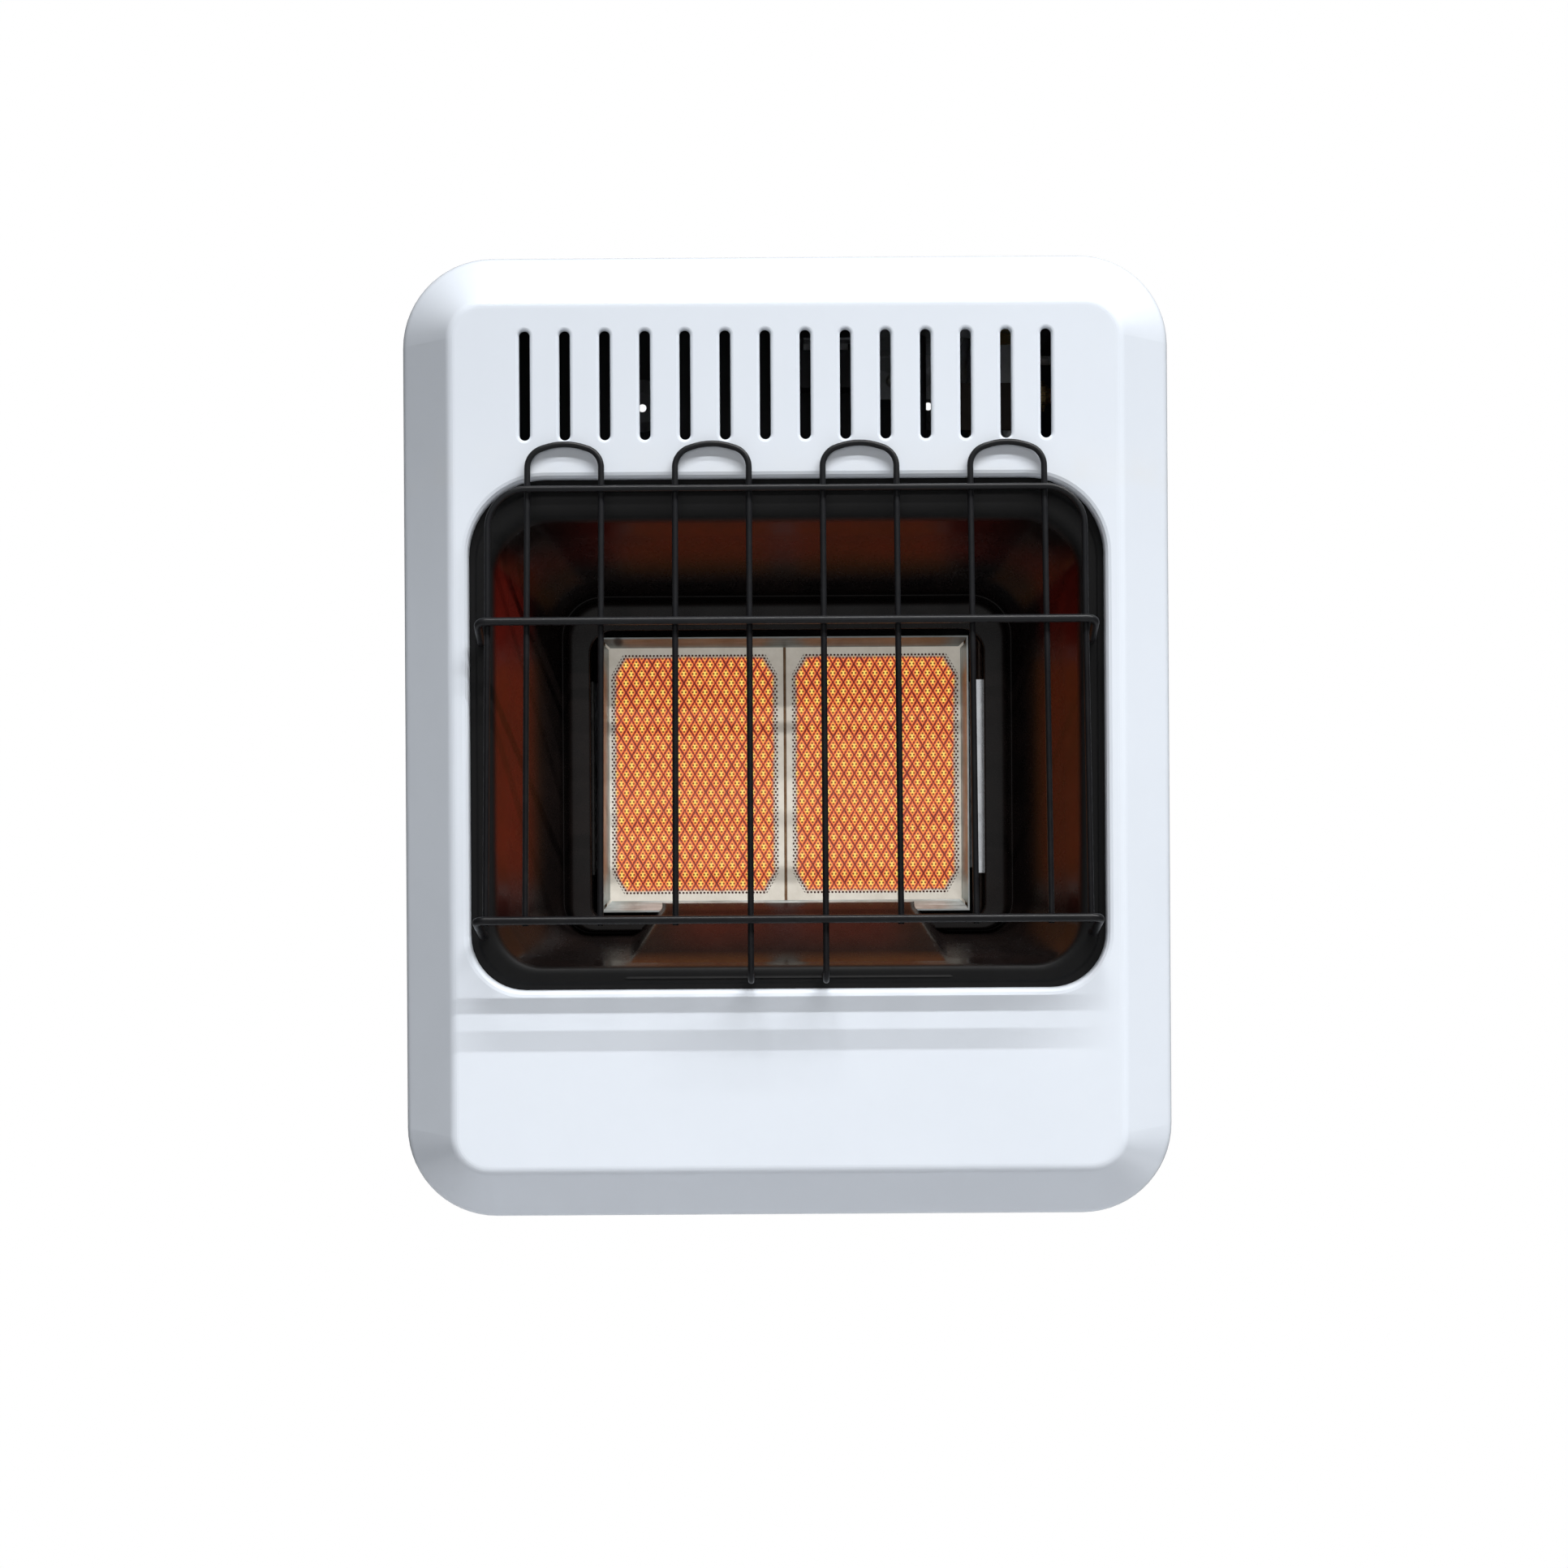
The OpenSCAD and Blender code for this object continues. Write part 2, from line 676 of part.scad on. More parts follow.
// Points round one rounded ring of the pan, clockwise from its top right corner
function pan_ring(u, y, n) =
    let (top = between(u, pan_top), low = between(u, pan_low))
    let (rt = between(u, pan_top_r), rl = between(u, pan_low_r))
    concat(
        [for (i = [0:n]) let (q = 90 - 90 * i / n) [u - rt + rt * cos(q), y, top - rt + rt * sin(q)]],
        [for (i = [0:n]) let (q = -90 * i / n) [u - rl + rl * cos(q), y, low + rl + rl * sin(q)]],
        [for (i = [0:n]) let (q = -90 - 90 * i / n) [rl - u + rl * cos(q), y, low + rl + rl * sin(q)]],
        [for (i = [0:n]) let (q = 180 - 90 * i / n) [rt - u + rt * cos(q), y, top - rt + rt * sin(q)]]
    );

// The pressed pan as one closed surface lofted through its rings
module pan_shell() {
    n = 6;
    per = 4 * (n + 1);
    outline = bent_sheet(pan_path, pan_bends, -pan_t, 4);
    rings = len(outline);
    points = [for (p = outline) each pan_ring(p[0], p[1], n)];
    faces = [
        for (i = [0:rings - 1], k = [0:per - 1])
            let (j = (i + 1) % rings, m = (k + 1) % per)
            let (a = i * per + k, b = i * per + m, c = j * per + m, d = j * per + k)
            each [[a, b, c], [a, c, d]]
    ];
    polyhedron(points, faces);
}

// Centres of the balls at the ramp's corners: half width, depth and height
ramp_top = [61.5, back_y - 5.5, ramp_top_z - ramp_r];
ramp_low = [77.5, back_y - 35.8, ramp_low_z - ramp_r];
ramp_foot = [80, back_y - 46, ramp_low_z - 9.5];
ramp_root = [72, back_y - 3, ramp_low_z - 1.5];

module ramp_balls(p) {
    for (side = [-1, 1]) translate([side * p[0], p[1], p[2]]) sphere(r = ramp_r, $fn = 16);
}

// The block whose skin is the pressed ramp
module ramp_block() {
    hull() for (p = [ramp_top, ramp_low, ramp_foot, ramp_root]) ramp_balls(p);
}

// The hollow behind the ramp, open to the burner
module ramp_hollow() {
    inset = [-1.1, 1, -pan_t];
    open_y = back_y + 9;
    hull() {
        ramp_balls(ramp_top + inset);
        ramp_balls(ramp_low + inset);
        ramp_balls(ramp_foot + [-2, 9, -6]);
        ramp_balls([ramp_top[0] - 1, open_y, ramp_top_z + 6]);
        ramp_balls([ramp_root[0] - 2, open_y, ramp_foot[2] - 6]);
    }
}

module firebox() {
    color([0.12, 0.12, 0.12]) difference() {
        union() {
            pan_shell();
            ramp_block();
        }
        ramp_hollow();
        for (side = [-1, 1]) {
            for (z = bar_hole_z) translate([side * bar_x, bezel_y - 3, z]) along_y()
                cylinder(r = bar_r + bezel_hole, h = 8);
            translate([side * wire_pitch / 2, bezel_y - 3, hook_z]) along_y()
                cylinder(r = wire_r + bezel_hole, h = 8);
        }
    }
}

// ---------- guard ----------

// Depth of the upright wires' axis at height z
function wire_y(z) = arch_y - (arch_top_z - z) * guard_lean;

module upright_arch(long_left, long_right) {
    half = wire_pitch / 2;
    low = guard_low_z - bar_r - 1;
    short_end = function(x) [[x, wire_y(low), low]];
    long_end = function(x) [[x, wire_y(low), low], [x, wire_y(hook_z), hook_z], [x, bezel_y + 5, hook_z]];
    left = long_left ? reversed(long_end(-half)) : short_end(-half);
    right = long_right ? long_end(half) : short_end(half);
    top = [[-half, wire_y(arch_side_z), arch_side_z], [0, wire_y(arch_top_z), arch_top_z],
        [half, wire_y(arch_side_z), arch_side_z]];
    path = long_left ? concat([left[0], left[1]], top, right)
        : long_right ? concat(left, top, [right[1], right[2]]) : concat(left, top, right);
    bends = long_left ? [5, 10, 30, 10] : long_right ? [10, 30, 10, 5] : [10, 30, 10];
    color([0.15, 0.15, 0.15]) bent_rod(path, wire_r, bends);
}

module guard_arch_left_outer() {
    translate([-3 * wire_pitch, 0, 0]) upright_arch(false, false);
}

module guard_arch_left_inner() {
    translate([-wire_pitch, 0, 0]) upright_arch(false, true);
}

module guard_arch_right_inner() {
    translate([wire_pitch, 0, 0]) upright_arch(true, false);
}

module guard_arch_right_outer() {
    translate([3 * wire_pitch, 0, 0]) upright_arch(false, false);
}

module guard_frame_wire() {
    low = guard_low_z - bar_r - 1;
    top_y = wire_y(guard_top_z) - wire_d - seat;
    side = [[side_x, top_y, guard_top_z], [side_x, wire_y(guard_mid_z), guard_mid_z],
        [side_x, wire_y(low), low]];
    path = concat([for (p = reversed(side)) [-p[0], p[1], p[2]]], side);
    color([0.15, 0.15, 0.15]) bent_rod(path, wire_r, [40, 19, 19, 40]);
}

// A cross bar at height z whose ends go back and down into the bezel
module cross_bar(z, hole_z) {
    y = wire_y(z) - bar_gap;
    tip = [[bar_x, bezel_y + 10, hole_z], [bar_x, bezel_y - 6, hole_z], [bar_x, y, z]];
    path = concat([for (p = tip) [-p[0], p[1], p[2]]], reversed(tip));
    color([0.15, 0.15, 0.15]) bent_rod(path, bar_r, [4, 4, 4, 4]);
}

module guard_mid_bar() {
    cross_bar(guard_mid_z, bar_hole_z[0]);
}

module guard_bottom_bar() {
    cross_bar(guard_low_z, bar_hole_z[1]);
}

// ---------- burner ----------

module at_burner() {
    translate([burner_x, 0, burner_z]) children();
}

// A block between two rectangles of half sizes a at y0 and b at y1
module frustum(a, y0, b, y1) {
    corners = function(h, y) [[-h[0], y, -h[1]], [h[0], y, -h[1]], [h[0], y, h[1]], [-h[0], y, h[1]]];
    polyhedron(concat(corners(a, y0), corners(b, y1)),
        [[0, 3, 2, 1], [4, 5, 6, 7], [0, 1, 5, 4], [3, 7, 6, 2], [1, 2, 6, 5], [0, 4, 7, 3]]);
}

module box_block(x, z, y0, y1) {
    translate([-x, y0, -z]) cube([2 * x, y1 - y0, 2 * z]);
}

module burner_frame() {
    notch = 1.2;
    color("lightgray") at_burner() {
        difference() {
            box_block(frame_x, frame_z, frame_front, frame_back);
            box_block(frame_x - frame_t, frame_z - frame_t, frame_front - 1, frame_back + 1);
        }
        difference() {
            frustum([frame_x - eps, frame_z - eps], frame_front, [flap_x, flap_z], face_y - seat);
            frustum([frame_x - frame_t, frame_z - frame_t], frame_front - eps,
                [flap_x - frame_t, flap_z - frame_t], face_y);
            for (x = [-1, 1], z = [-1, 1]) translate([x * flap_x, face_y, z * flap_z])
                rotate([0, -x * z * 45, 0]) translate([-8, -10, -notch / 2]) cube([16, 12, notch]);
        }
    }
}

function groove_at(i, j) = (i + j) % 2 == 0 ? groove_d : 0;

// One plaque, its face quilted by two crossing sets of grooves and its corners left flat
module plaque() {
    diamond_w = 5.45;
    diamond_h = 9.45;
    corner_w = 6.4;
    corner_h = 11;
    across = 2 * diamonds_x;
    up = 2 * diamonds_z;
    field_x = diamonds_x * diamond_w / 2;
    field_z = diamonds_z * diamond_h / 2;
    xs = concat([-plaque_w / 2], [for (i = [0:across]) (i - diamonds_x) * diamond_w / 2], [plaque_w / 2]);
    zs = concat([-plaque_h / 2], [for (j = [0:up]) (j - diamonds_z) * diamond_h / 2], [plaque_h / 2]);
    nx = len(xs);
    nz = len(zs);
    depth = function(i, j)
        i < 2 || j < 2 || i > nx - 3 || j > nz - 3 ? 0
        : (field_x - abs(xs[i])) / corner_w + (field_z - abs(zs[j])) / corner_h < 1 ? 0 : groove_at(i, j);
    front = [for (j = [0:nz - 1], i = [0:nx - 1]) [xs[i], depth(i, j), zs[j]]];
    back = [for (x = [-1, 1], z = [-1, 1]) [x * plaque_w / 2, plaque_t, z * plaque_h / 2]];
    at = function(i, j) j * nx + i;
    b = len(front);
    faces = concat(
        [for (j = [0:nz - 2], i = [0:nx - 2])
            let (p = at(i, j), q = at(i + 1, j), r = at(i + 1, j + 1), s = at(i, j + 1))
            each (i + j) % 2 == 0 ? [[p, s, r], [p, r, q]] : [[p, s, q], [q, s, r]]],
        [concat([b], [for (i = [0:nx - 1]) at(i, 0)], [b + 2])],
        [concat([b + 3], [for (i = [nx - 1:-1:0]) at(i, nz - 1)], [b + 1])],
        [concat([b + 1], [for (j = [nz - 1:-1:0]) at(0, j)], [b])],
        [concat([b + 2], [for (j = [0:nz - 1]) at(nx - 1, j)], [b + 3])],
        [[b, b + 2, b + 3, b + 1]]
    );
    translate([0, face_y, 0]) polyhedron(concat(front, back), faces);
}

module ceramic_plaque_left() {
    color("wheat") at_burner() translate([-(plaque_w + seam) / 2, 0, 0]) plaque();
}

module ceramic_plaque_right() {
    color("wheat") at_burner() translate([(plaque_w + seam) / 2, 0, 0]) plaque();
}

module plaque_gasket() {
    gap = 0.06;
    color("peru") at_burner() difference() {
        box_block(frame_x - frame_t - gap, frame_z - frame_t - gap, face_y + 0.3, box_front - seat);
        for (side = [-1, 1]) translate([side * (plaque_w + seam) / 2, 0, 0])
            box_block(plaque_w / 2 + gap, plaque_h / 2 + gap, face_y - 1, box_front + 1);
    }
}

module burner_box() {
    ledge = 6;
    color("silver") at_burner() difference() {
        box_block(box_x, box_z, box_front, box_back);
        box_block(box_x - box_t, box_z - box_t, box_front + box_t, box_back - box_t);
        for (side = [-1, 1]) translate([side * (plaque_w + seam) / 2, 0, 0])
            box_block(plaque_w / 2 - ledge, plaque_h / 2 - ledge, box_front - 1, box_front + 2);
        translate([0, tube_y, -box_z - 1]) cylinder(r = tube_r + seat, h = 4);
        for (x = [-1, 1], z = box_screw_z) translate([x * box_screw_x, box_back - 4, z - burner_z])
            along_y() cylinder(r = screw_r + screw_fit, h = 6);
        for (x = pilot_screw_x) translate([x - burner_x, pilot_screw_y, -box_z - 1])
            cylinder(r = screw_r + screw_fit, h = 4);
    }
}

// A galvanised bracket from the burner box's back to the collar, with its web at x
module burner_bracket(x) {
    back = box_back + seat;
    front = back_y + 4 + seat;
    path = [[box_x - 17, back], [x, back], [x, front], [x + 11, front]];
    difference() {
        translate([0, 0, strip_z]) linear_extrude(strip_h) polygon(bent_sheet(path, [1.5, 0.5], bracket_t));
        for (z = box_screw_z) translate([box_screw_x, box_back - 1, z])
            along_y() cylinder(r = screw_r + screw_fit, h = 4);
    }
}

module burner_bracket_right() {
    color("gainsboro") translate([burner_x, 0, 0]) burner_bracket(strip_x - burner_x);
}

module burner_bracket_left() {
    color("gainsboro") translate([burner_x, 0, 0]) mirror([1, 0, 0]) burner_bracket(strip_x + 3 + burner_x);
}

module mixing_tube() {
    path = [[mouth_r, mouth_z], [mouth_r - 0.5, mouth_z + 5], [throat_r, throat_z], [throat_r, throat_z + 12],
        [tube_r, box_low - 22.4], [tube_r, box_low + 3]];
    color("silver") translate([burner_x, tube_y, 0]) {
        rotate_extrude() polygon(bent_sheet(path, [6, 10, 20, 20], tube_wall));
        translate([0, 0, box_low - 1 - seat]) difference() {
            cylinder(r = tube_flange_r, h = 1);
            translate([0, 0, -1]) cylinder(r = tube_r - tube_wall / 2, h = 3);
        }
    }
}

module injector_bracket() {
    low = holder_z + holder_half + seat;
    ring_z = mouth_z + 0.5;
    t = 1.2;
    color("silver") translate([burner_x, tube_y, 0]) {
        translate([0, 0, ring_z]) difference() {
            cylinder(r = mouth_r + 4, h = 3);
            translate([0, 0, -1]) cylinder(r = mouth_r + seat, h = 5);
        }
        for (side = [-1, 1]) translate([side * (mouth_r + 3) - t / 2, -5, low])
            cube([t, 10, ring_z + 1 - low]);
        translate([-mouth_r - 3, -8, low]) difference() {
            cube([2 * mouth_r + 6, 16, t]);
            translate([mouth_r + 3, 8, -1]) cylinder(r = 4 + screw_fit, h = 4);
        }
    }
}

module injector_holder() {
    color("goldenrod") translate([burner_x, tube_y, holder_z]) difference() {
        union() {
            box_block(holder_half, holder_half, -holder_half, holder_half);
            rotate([0, 90, 0]) cylinder(r = 6, h = holder_half + 4);
        }
        translate([0, 0, -2]) cylinder(r = 4 + slide_fit, h = 12);
        rotate([0, 90, 0]) cylinder(r = main_r - bore_wall, h = 20);
    }
}

module injector() {
    base = holder_half + shelf_t + 2 * seat;
    color("goldenrod") translate([burner_x, tube_y, holder_z]) difference() {
        union() {
            translate([0, 0, 1]) cylinder(r = 4, h = base);
            translate([0, 0, base]) hexagon(10, 3.5);
            translate([0, 0, base + 3.5]) cylinder(r1 = 3.5, r2 = 1.6, h = 4);
        }
        cylinder(r = 1.6, h = base + 2);
        cylinder(r = 0.5, h = base + 10);
    }
}

// ---------- pilot ----------

module pilot_bracket() {
    top = box_low - seat - pilot_t;
    path = [[pilot_y - 6, pilot_z], [pilot_screw_y - 10, pilot_z], [pilot_screw_y - 10, top],
        [pilot_screw_y + 8, top]];
    color("silver") difference() {
        translate([spark_x - 8, 0, 0]) rotate([90, 0, 90]) linear_extrude(couple_x - spark_x + 16)
            polygon(bent_sheet(path, [0.5, 1.5], pilot_t));
        translate([pilot_x, pilot_y, pilot_z - 1]) cylinder(r = pilot_r + seat, h = 4);
        translate([couple_x, pilot_y, pilot_z - 1]) cylinder(r = couple_r - 0.7 + seat, h = 4);
        translate([spark_x, pilot_y, pilot_z - 1]) cylinder(r = spark_r - 0.7 + seat, h = 4);
        for (x = pilot_screw_x) translate([x, pilot_screw_y, top - 3])
            cylinder(r = screw_r + screw_fit, h = 6);
    }
}

module pilot_burner() {
    hood = 8;
    color("goldenrod") translate([pilot_x, pilot_y, pilot_z]) difference() {
        union() {
            translate([0, 0, -seat - 6]) hexagon(11, 6);
            translate([0, 0, -seat - 11]) cylinder(r = pilot_r, h = 12 + hood);
        }
        translate([0, 0, -12]) cylinder(r = 2 + slide_fit, h = 7);
        translate([0, 0, -12]) cylinder(r = 1, h = 14);
        translate([0, 0, 1]) cylinder(r = pilot_r - 0.8, h = hood);
        translate([-1, -pilot_r - 1, 2]) cube([2, pilot_r + 1, hood]);
    }
}

module thermocouple() {
    color("silver") translate([couple_x, pilot_y, pilot_z]) {
        translate([0, 0, -seat - 8]) cylinder(r = couple_r, h = 8);
        translate([0, 0, -seat - eps]) cylinder(r = couple_r - 0.7, h = 5);
        translate([0, 0, 4]) cylinder(r = 1.6, h = 6);
        translate([0, 0, 10]) sphere(r = 1.6);
    }
}

module thermocouple_nut() {
    color("goldenrod") translate([magnet_x, magnet_y, magnet_low - seat]) mirror([0, 0, 1])
        tube_nut(10, 8, 1 + slide_fit);
}

module thermocouple_lead() {
    back = -46;
    lead_x = knob_x;
    lead_top = magnet_low - 16;
    start = pilot_z - seat - 8 - seat;
    color("chocolate") bent_rod([
        [couple_x, pilot_y, start], [couple_x, pilot_y, lead_z], [couple_x, back, lead_z],
        [lead_x, back, lead_z], [lead_x, back, lead_top], [magnet_x, magnet_y, lead_top],
        [magnet_x, magnet_y, magnet_low - 1],
    ], 1, [6, 6, 6, 6, 6, 6]);
}

module spark_electrode() {
    color("ivory") translate([spark_x, pilot_y, pilot_z]) difference() {
        union() {
            translate([0, 0, -seat - 12]) cylinder(r = spark_r, h = 12);
            translate([0, 0, -seat - eps]) cylinder(r = spark_r - 0.7, h = 5);
        }
        translate([0, 0, -13]) cylinder(r = 0.8 + seat, h = 20);
    }
}

module electrode_tip() {
    z0 = pilot_z - 10;
    z1 = pilot_z + 9;
    color("silver") bent_rod([
        [spark_x, pilot_y, z0], [spark_x, pilot_y, z1], [pilot_x - pilot_r - 3, pilot_y, z1 + 0.5],
    ], 0.8, [2.5]);
}

module igniter_cable() {
    run_x = knob_x - 8;
    back = -43;
    color("black") bent_rod([
        [igniter_x, valve_y, igniter_low - seat], [igniter_x, valve_y, igniter_low - 9],
        [run_x, back, igniter_low - 9], [run_x, back, cable_run_z], [spark_x, back, cable_run_z],
        [spark_x, pilot_y, cable_run_z], [spark_x, pilot_y, pilot_z - 12 - 2 * seat],
    ], 1.5, [5, 6, 6, 6, 6, 6]);
}

// ---------- gas tubes ----------

module pilot_tube() {
    color("chocolate") bent_tube([
        [pilot_out_x, pilot_out_y, valve_low - 1], [pilot_out_x, pilot_out_y, pilot_run_z],
        [pilot_out_x, pilot_y, pilot_run_z], [pilot_x, pilot_y, pilot_run_z], [pilot_x, pilot_y, pilot_z - 6],
    ], pilot_tube_r, 0.6, [9, 9, 9]);
}

module main_gas_tube() {
    color("chocolate") bent_tube([
        [main_x, tube_y, valve_low - 1], [main_x, tube_y, holder_z],
        [burner_x + holder_half + 5, tube_y, holder_z],
    ], main_r, bore_wall, [12]);
}

module inlet_gas_tube() {
    color("chocolate") bent_tube([
        [valve_right + 7, valve_y, inlet_z], [inlet_x, valve_y, inlet_z],
        [inlet_x, valve_y, regulator_z + regulator_boss + 1],
    ], inlet_r, bore_wall, [10]);
}

module pilot_tube_nuts() {
    color("goldenrod") {
        translate([pilot_out_x, pilot_out_y, valve_low - seat]) mirror([0, 0, 1])
            tube_nut(8, nut_h - 2, pilot_tube_r + slide_fit);
        translate([pilot_x, pilot_y, pilot_z - 2 * seat - 11]) mirror([0, 0, 1])
            tube_nut(8, nut_h - 2, pilot_tube_r + slide_fit);
    }
}

module main_tube_nuts() {
    color("goldenrod") {
        translate([main_x, tube_y, valve_low - seat]) mirror([0, 0, 1])
            tube_nut(12, nut_h, main_r + slide_fit);
        translate([burner_x + holder_half + 4 + seat, tube_y, holder_z]) rotate([0, 90, 0])
            tube_nut(12, nut_h, main_r + slide_fit);
    }
}

module inlet_tube_nuts() {
    color("goldenrod") {
        translate([valve_right + 6 + seat, valve_y, inlet_z]) rotate([0, 90, 0])
            tube_nut(14, nut_h - 2, inlet_r + slide_fit);
        translate([inlet_x, valve_y, regulator_z + regulator_boss + seat])
            tube_nut(14, nut_h - 2, inlet_r + slide_fit);
    }
}

module regulator_body() {
    color("silver") translate([inlet_x, valve_y, regulator_z]) difference() {
        union() {
            translate([0, -regulator_half, 0]) along_y() cylinder(r = regulator_r, h = 2 * regulator_half);
            cylinder(r = 8, h = regulator_boss);
            translate([0, 0, -regulator_r - 3]) cylinder(r = 9.5, h = regulator_r);
        }
        translate([0, 0, regulator_r - 8]) cylinder(r = inlet_r - bore_wall, h = 40);
        translate([0, -regulator_half - 1, 0]) along_y() cylinder(r = regulator_r - 6, h = regulator_half);
        for (z = regulator_screw_z) translate([-regulator_screw_in, regulator_half - 5, z - regulator_z])
            along_y() cylinder(r = screw_r + screw_fit, h = 6);
    }
}

module regulator_cap() {
    base_y = valve_y - regulator_half - seat;
    color("silver") translate([inlet_x, base_y, regulator_z]) rotate([90, 0, 0]) difference() {
        union() {
            cylinder(r = regulator_r, h = 3);
            cylinder(r1 = regulator_r - 3, r2 = regulator_r - 9, h = 10);
            cylinder(r = 7, h = 16);
        }
        translate([-4, -0.75, 14]) cube([8, 1.5, 3]);
        translate([0, 0, -1]) cylinder(r = 5.5, h = 12);
    }
}

module regulator_bracket() {
    back = panel_y - seat;
    front = valve_y + regulator_half + seat + shelf_t;
    path = [[inlet_x + 28, back], [inlet_x + 12, back], [inlet_x + 12, front], [inlet_x - 14, front]];
    color("silver") difference() {
        translate([0, 0, regulator_z - 15]) linear_extrude(30) polygon(bent_sheet(path, [2, 2], shelf_t));
        for (z = regulator_screw_z) {
            screw_hole(inlet_x + 20, z);
            translate([inlet_x - regulator_screw_in, front - shelf_t - 1, z])
                along_y() cylinder(r = screw_r + screw_fit, h = 4);
        }
    }
}

module inlet_fitting() {
    top = regulator_z - regulator_r - 3 - seat;
    low = fitting_low - half_h;
    color("goldenrod") translate([inlet_x, valve_y, 0]) difference() {
        translate([0, 0, low]) hexagon(22, top - low);
        translate([0, 0, low - eps]) cylinder(r = inlet_bore_r, h = inlet_bore_l);
        translate([0, 0, low]) cylinder(r = 3, h = top - low + 1);
    }
}

// ---------- gas valve ----------

module gas_valve_body() {
    color("silver") difference() {
        union() {
            translate([knob_x - valve_half_x, valve_y - valve_half_y, valve_low])
                cube([2 * valve_half_x, 2 * valve_half_y, valve_top - valve_low]);
            translate([magnet_x, magnet_y, magnet_low])
                cylinder(r = magnet_r, h = valve_low - magnet_low + 1);
            translate([valve_right - 1, valve_y, inlet_z]) rotate([0, 90, 0]) cylinder(r = 6.5, h = 7);
        }
        translate([knob_x, valve_y, valve_low + valve_floor]) cylinder(r = spring_well_r, h = 50);
        translate([main_x, tube_y, valve_low - 1]) cylinder(r = main_r + slide_fit, h = 5);
        translate([pilot_out_x, pilot_out_y, valve_low - 1]) cylinder(r = pilot_tube_r + slide_fit, h = 5);
        translate([valve_right, valve_y, inlet_z]) rotate([0, 90, 0])
            cylinder(r = inlet_r - bore_wall, h = 8);
        translate([valve_right + 3, valve_y, inlet_z]) rotate([0, 90, 0])
            cylinder(r = inlet_r + slide_fit, h = 8);
        translate([magnet_x, magnet_y, magnet_low - 1]) cylinder(r = 2, h = 10);
        translate([valve_right - 5, valve_y, nipple_z]) rotate([0, 90, 0])
            cylinder(r = nipple_r + slide_fit, h = 8);
    }
}

module valve_cover_plate() {
    plate_t = 2;
    plate_h = 24.7;
    plate_left = 20;
    color([0.2, 0.16, 0.13]) difference() {
        translate([knob_x - plate_left, valve_y - valve_half_y - seat - plate_t, valve_low - 8])
            cube([plate_left + valve_half_x, plate_t, plate_h]);
        for (x = [-9, 9]) translate([knob_x + x, valve_y - valve_half_y - 4, valve_low + 8])
            along_y() cylinder(r = 1.5, h = 5);
    }
}

module valve_bonnet() {
    color("goldenrod") translate([knob_x, valve_y, valve_top + seat]) difference() {
        union() {
            cylinder(r = 12, h = shelf_z - seat - valve_top - seat);
            cylinder(r = bonnet_r, h = tray_floor + 2 - valve_top);
        }
        translate([0, 0, -1]) cylinder(r = spindle_r + slide_fit, h = 30);
    }
}

module test_nipple() {
    color("gainsboro") translate([valve_right - 4, valve_y, nipple_z]) rotate([0, 90, 0]) difference() {
        union() {
            cylinder(r = nipple_r, h = 19);
            translate([0, 0, 4 + seat]) cylinder(r = 4, h = 3);
        }
        translate([0, 0, -1]) cylinder(r = 1, h = 22);
    }
}

module tray_outline(grow, r) {
    x0 = tray_x0 - grow;
    x1 = tray_x1 + grow;
    y0 = tray_y0 - grow;
    y1 = tray_y1 + grow;
    for (x = [x0 + r, x1 - r], y = [y0 + r, y1 - r]) translate([x, y]) circle(r);
    translate([x0 + r, y0]) square([x1 - x0 - 2 * r, y1 - y0]);
    translate([x0, y0 + r]) square([x1 - x0, y1 - y0 - 2 * r]);
}

module valve_bracket() {
    back = panel_y - seat;
    tab_x = [86, 104];
    tab_h = 7.8;
    arm_y = cutout_y + seat;
    arm_w = 24;
    arm_h = 23;
    apron_h = 24;
    color("gainsboro") difference() {
        union() {
            translate([tray_x0, tray_y0, shelf_z]) cube([tray_x1 - tray_x0, back - tray_y0, shelf_t]);
            translate([tray_x0 + 8, back - shelf_t, shelf_z - apron_h])
                cube([tray_x1 - tray_x0 - 14, shelf_t, apron_h + shelf_t]);
            translate([tab_x[0], tray_y0, shelf_z - tab_h])
                cube([tab_x[1] - tab_x[0], shelf_t, tab_h + shelf_t / 2]);
            translate([cutout_x - arm_w / 2, arm_y - arm_w / 2, shelf_z])
                cube([tray_x0 - cutout_x + arm_w / 2 + 1, arm_w / 2 + shelf_t, shelf_t]);
            translate([cutout_x - arm_w / 2, arm_y, shelf_z - arm_h]) cube([arm_w, shelf_t, arm_h + shelf_t]);
        }
        translate([knob_x, valve_y, shelf_z - 1]) cylinder(r = bonnet_r + slide_fit, h = 4);
        translate([igniter_x, valve_y, shelf_z - 1]) cylinder(r = neck_r + slide_fit, h = 4);
        for (x = shelf_screw_x) screw_hole(x, shelf_z - 14);
    }
}

module overheat_cutout() {
    cap_r = 6;
    ear_hole = cutout_w / 2 - 2;
    mid_z = valve_top - cutout_h / 2;
    color([0.3, 0.3, 0.32]) translate([cutout_x, cutout_y - cutout_h, mid_z]) difference() {
        translate([-cutout_w / 2, 0, -cutout_h / 2]) cube([cutout_w, cutout_h, cutout_h]);
        translate([0, -1, 0]) along_y() cylinder(r = cap_r, h = 2.5);
        for (side = [-1, 1]) translate([side * ear_hole, -1, 0])
            along_y() cylinder(r = 1.2, h = cutout_h + 2);
    }
}

// ---------- controls ----------

